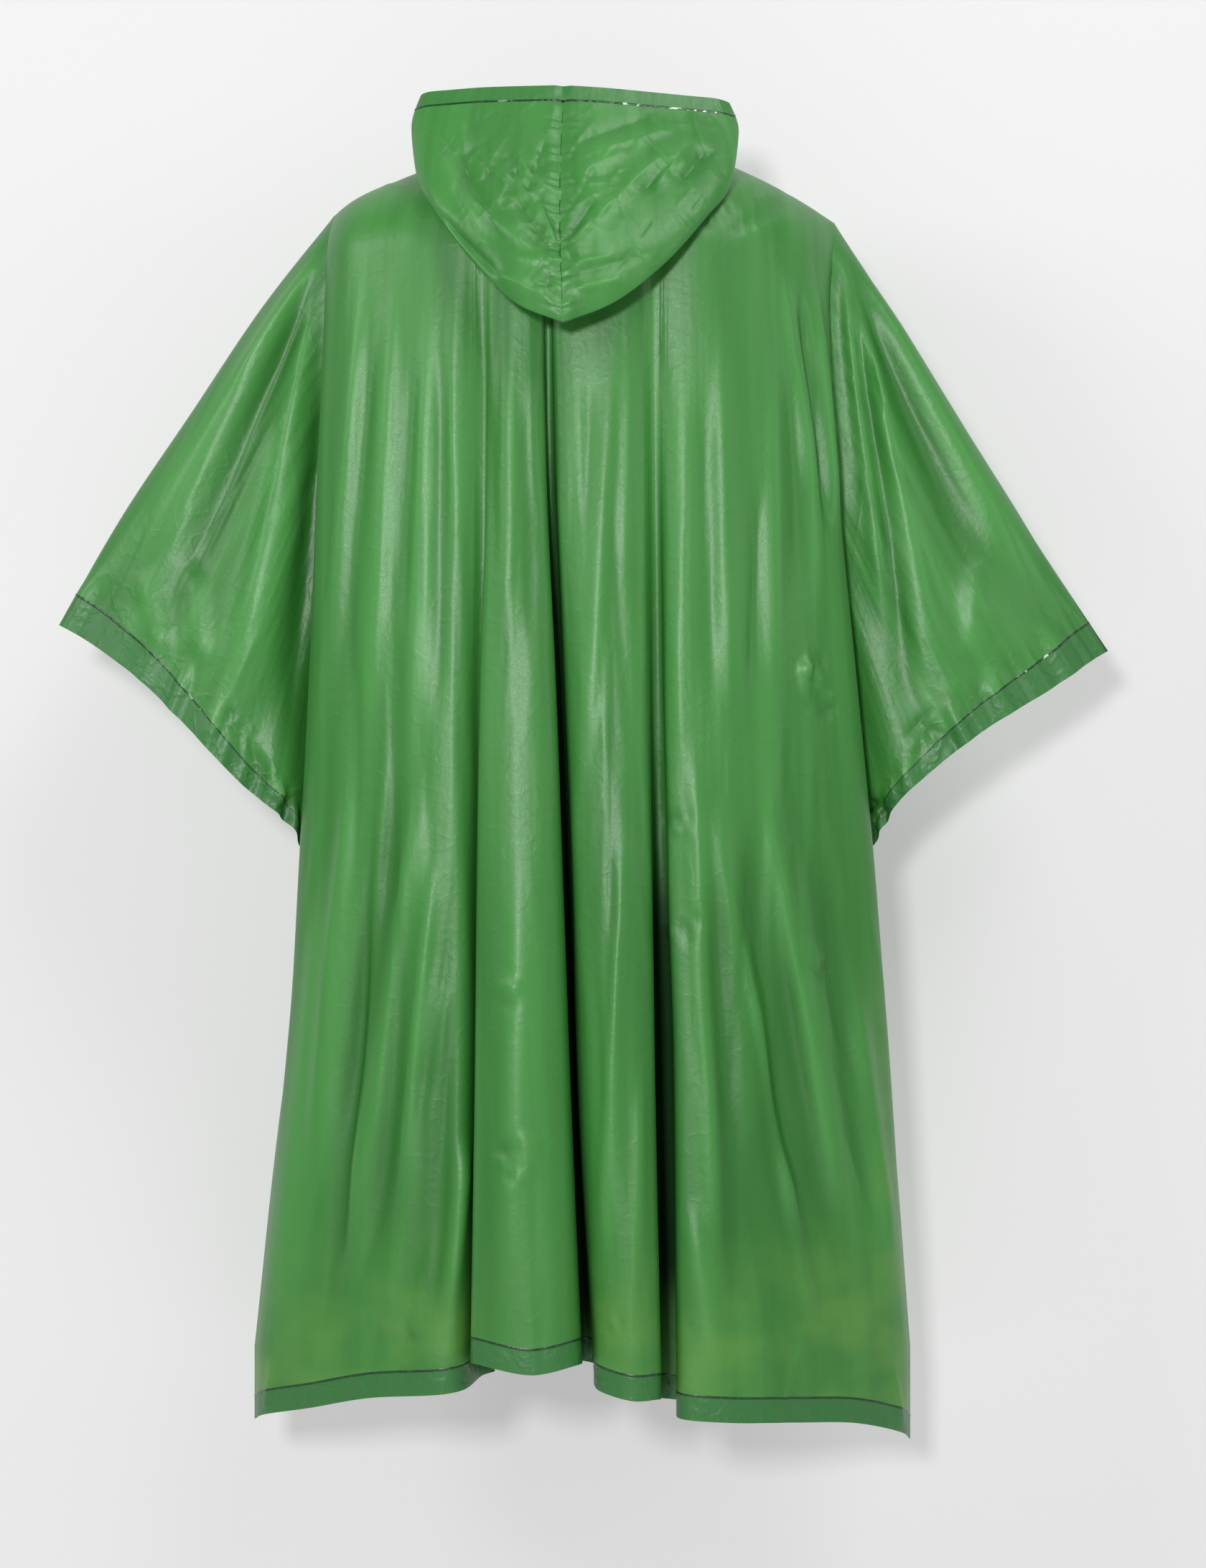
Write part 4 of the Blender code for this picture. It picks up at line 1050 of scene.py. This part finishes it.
def hood_half(name, node, table, side, creases, panels, rng):
    outer, inner = HOOD_OUTER, HOOD_INNER
    stations = np.concatenate([np.linspace(0, 2, HOOD_STATIONS), np.linspace(2, 4, HOOD_STATIONS // 2)[1:]])
    grid = hood_grid(table, side, stations, outer, inner)
    grid = rest_on(grid, panels, HOOD_CLEAR, 2)
    flip = side > 0
    outward = outward_of(grid) * (1 if flip else -1)
    weld_row = 3
    fold_row = outer + 3
    lift = relief(
        grid[..., 0], grid[..., 2], creases, HOOD_CRUMPLES, HOOD_STREAKS, rng, HOOD_SHARP
    )
    rows = np.arange(grid.shape[0])[:, None]
    outside = smooth((fold_row - rows) / 8.0) * smooth((1.9 - stations) / 0.3)[None]
    seam = np.abs(stations)[None] * STATION_WIDTH
    waves = PUCKER_HEIGHT * np.sin(rows * 0.9 + 2 * np.sin(rows * 0.37))
    puckers = waves * np.exp(-((seam / PUCKER_HALF) ** 2))
    tuck = -SEAM_DEPTH * np.exp(-((seam / SEAM_HALF) ** 2))
    grid = grid + outward * ((lift + puckers + tuck) * outside)[..., None]
    grid[:, -1, 0] = side * 0.45
    grid[:, 0, 0] = HOOD_MIDDLE_X + 0.4 * np.sin(rows[:, 0] * 0.35)
    outward = outward_of(grid) * (1 if flip else -1)
    in_hem = np.zeros(grid.shape[:2])
    in_hem[: weld_row + 1] = 1.0
    crumpled = hood_crumpled(grid) * outside + 0.1
    marks = {"hem": in_hem * HOOD_HEM_COLOUR, "lit": 0.0, "crumpled": crumpled}
    # painted light and shade on the hood's creases
    marks["painted_shading"] = painted_crease_shading_of(lift * outside)
    lay = lay_of(grid, side * 0.4)
    sheet = ready(add_film(name, grid, HOOD, False, not flip, marks, lay), "film_hood", node)
    return sheet, grid, outward


def build():
    rng = np.random.default_rng(SEED)
    names, nodes = ("film_back", "turned_hem_back"), ("back", "hem_back")
    marks = BACK_CREASES, BACK_CRUMPLES, BACK_STREAKS
    back, back_with, back_grid = panel(
        names, nodes, BACK_LINES, BACK_LEVELS, -1, *marks, BACK_STEP, BACK_ROWS, rng
    )
    names, nodes = ("film_front", "turned_hem_front"), ("front", "hem_front")
    marks = FRONT_CREASES, FRONT_CRUMPLES, FRONT_STREAKS
    front, front_with, front_grid = panel(
        names, nodes, FRONT_LINES, FRONT_LEVELS, 1, *marks, FRONT_STEP, FRONT_ROWS, rng
    )
    names, nodes = ("film_sleeve_left", "turned_cuff_left"), ("sleeve_left", "cuff_left")
    left, left_with = sleeve(names, nodes, -1, LEFT_SLEEVE_CREASES, rng)
    names, nodes = ("film_sleeve_right", "turned_cuff_right"), ("sleeve_right", "cuff_right")
    right, right_with = sleeve(names, nodes, 1, RIGHT_SLEEVE_CREASES, rng)
    panels = ((back_grid, False), (front_grid, True))
    hood_l, grid_l, out_l = hood_half(
        "film_hood_left", "hood_left", HOOD_LEFT, -1, HOOD_CREASES_LEFT, panels, rng
    )
    hood_r, grid_r, out_r = hood_half(
        "film_hood_right", "hood_right", HOOD_RIGHT, 1, HOOD_CREASES_RIGHT, panels, rng
    )
    lip = np.concatenate([grid_l[:4, ::-1], grid_r[:4, 1:]], axis=1)
    lip_out = np.concatenate([out_l[:4, ::-1], out_r[:4, 1:]], axis=1)
    turned = add_film("turned_hood_hem", lip - lip_out * HEM_GAP, HEM, False, False, HEM_MARKS)
    ready(turned, "film_hem", "hood_hem")
    three = np.concatenate([grid_l[2:5, ::-1], grid_r[2:5, 1:]], axis=1)
    three_out = np.concatenate([out_l[2:5, ::-1], out_r[2:5, 1:]], axis=1)
    face_weld = weld_strip("hood_face_weld", three, three_out, False, False, rng)


def add_light(name, place, size, power):
    light = bpy.data.lights.new(name, "AREA")
    light.size = size
    light.energy = power
    thing = bpy.data.objects.new(name, light)
    thing.location = place
    thing.rotation_euler = (Vector(LIGHTS_AIM) - Vector(place)).to_track_quat("-Z", "Y").to_euler()
    bpy.context.scene.collection.objects.link(thing)


def studio():
    """A pale sweep behind and below, clear from its back, and four soft lights."""
    material, tree, shader = new_material("backdrop")
    feed(tree, shader, {"Base Color": BACKDROP_COLOUR, "Roughness": BACKDROP_ROUGH})
    feed(tree, shader, {"Emission Color": WHITE, "Emission Strength": BACKDROP_GLOW})
    feed(tree, shader, {"Specular IOR Level": 0.0})
    clear = tree.nodes.new("ShaderNodeBsdfTransparent").outputs["BSDF"]
    behind = tree.nodes.new("ShaderNodeNewGeometry").outputs["Backfacing"]
    blended(tree, behind, shader.outputs["BSDF"], clear)
    profile = [(BACKDROP_Y, BACKDROP_TOP)]
    for step in range(13):
        turn = math.radians(90 * step / 12)
        y = BACKDROP_Y - BACKDROP_BEND * (1 - math.cos(turn))
        z = FLOOR_Z + BACKDROP_BEND * (1 - math.sin(turn))
        profile.append((y, z))
    profile.append((-BACKDROP_HALF, FLOOR_Z))
    points = [(x, y, z) for y, z in profile for x in (-BACKDROP_HALF, BACKDROP_HALF)]
    faces = [(2 * i, 2 * i + 1, 2 * i + 3, 2 * i + 2) for i in range(len(profile) - 1)]
    mesh = bpy.data.meshes.new("backdrop")
    mesh.from_pydata(points, [], faces)
    mesh.polygons.foreach_set("use_smooth", [True] * len(faces))
    mesh.materials.append(material)
    mesh.update()
    sweep = bpy.data.objects.new("backdrop", mesh)
    bpy.context.scene.collection.objects.link(sweep)
    if mesh.polygons[0].normal.y > 0:
        mesh.flip_normals()
    for row in LIGHTS:
        add_light(*row)
    world = bpy.data.worlds.new("studio")
    world.use_nodes = True
    sky = world.node_tree.nodes["Background"]
    feed(world.node_tree, sky, {"Color": WHITE, "Strength": WORLD_LIGHT})
    bpy.context.scene.world = world
    bpy.context.scene.view_settings.view_transform = "Standard"


def camera():
    data = bpy.data.cameras.new("camera")
    data.sensor_width = SENSOR
    data.lens = SENSOR * -CAMERA_AT[1] / VIEW_HEIGHT
    eye = bpy.data.objects.new("camera", data)
    eye.location = CAMERA_AT
    eye.rotation_euler = (math.radians(90), 0.0, 0.0)
    bpy.context.scene.collection.objects.link(eye)
    bpy.context.scene.camera = eye


BODY = film_material("film_body", **FILM)
SLEEVE = film_material("film_sleeve", **FILM)
HOOD = film_material("film_hood", **{**FILM, "crinkle": HOOD_CRINKLE})
HEM = film_material("film_hem", **FILM)
WELD = weld_material()
camera()
studio()
build()
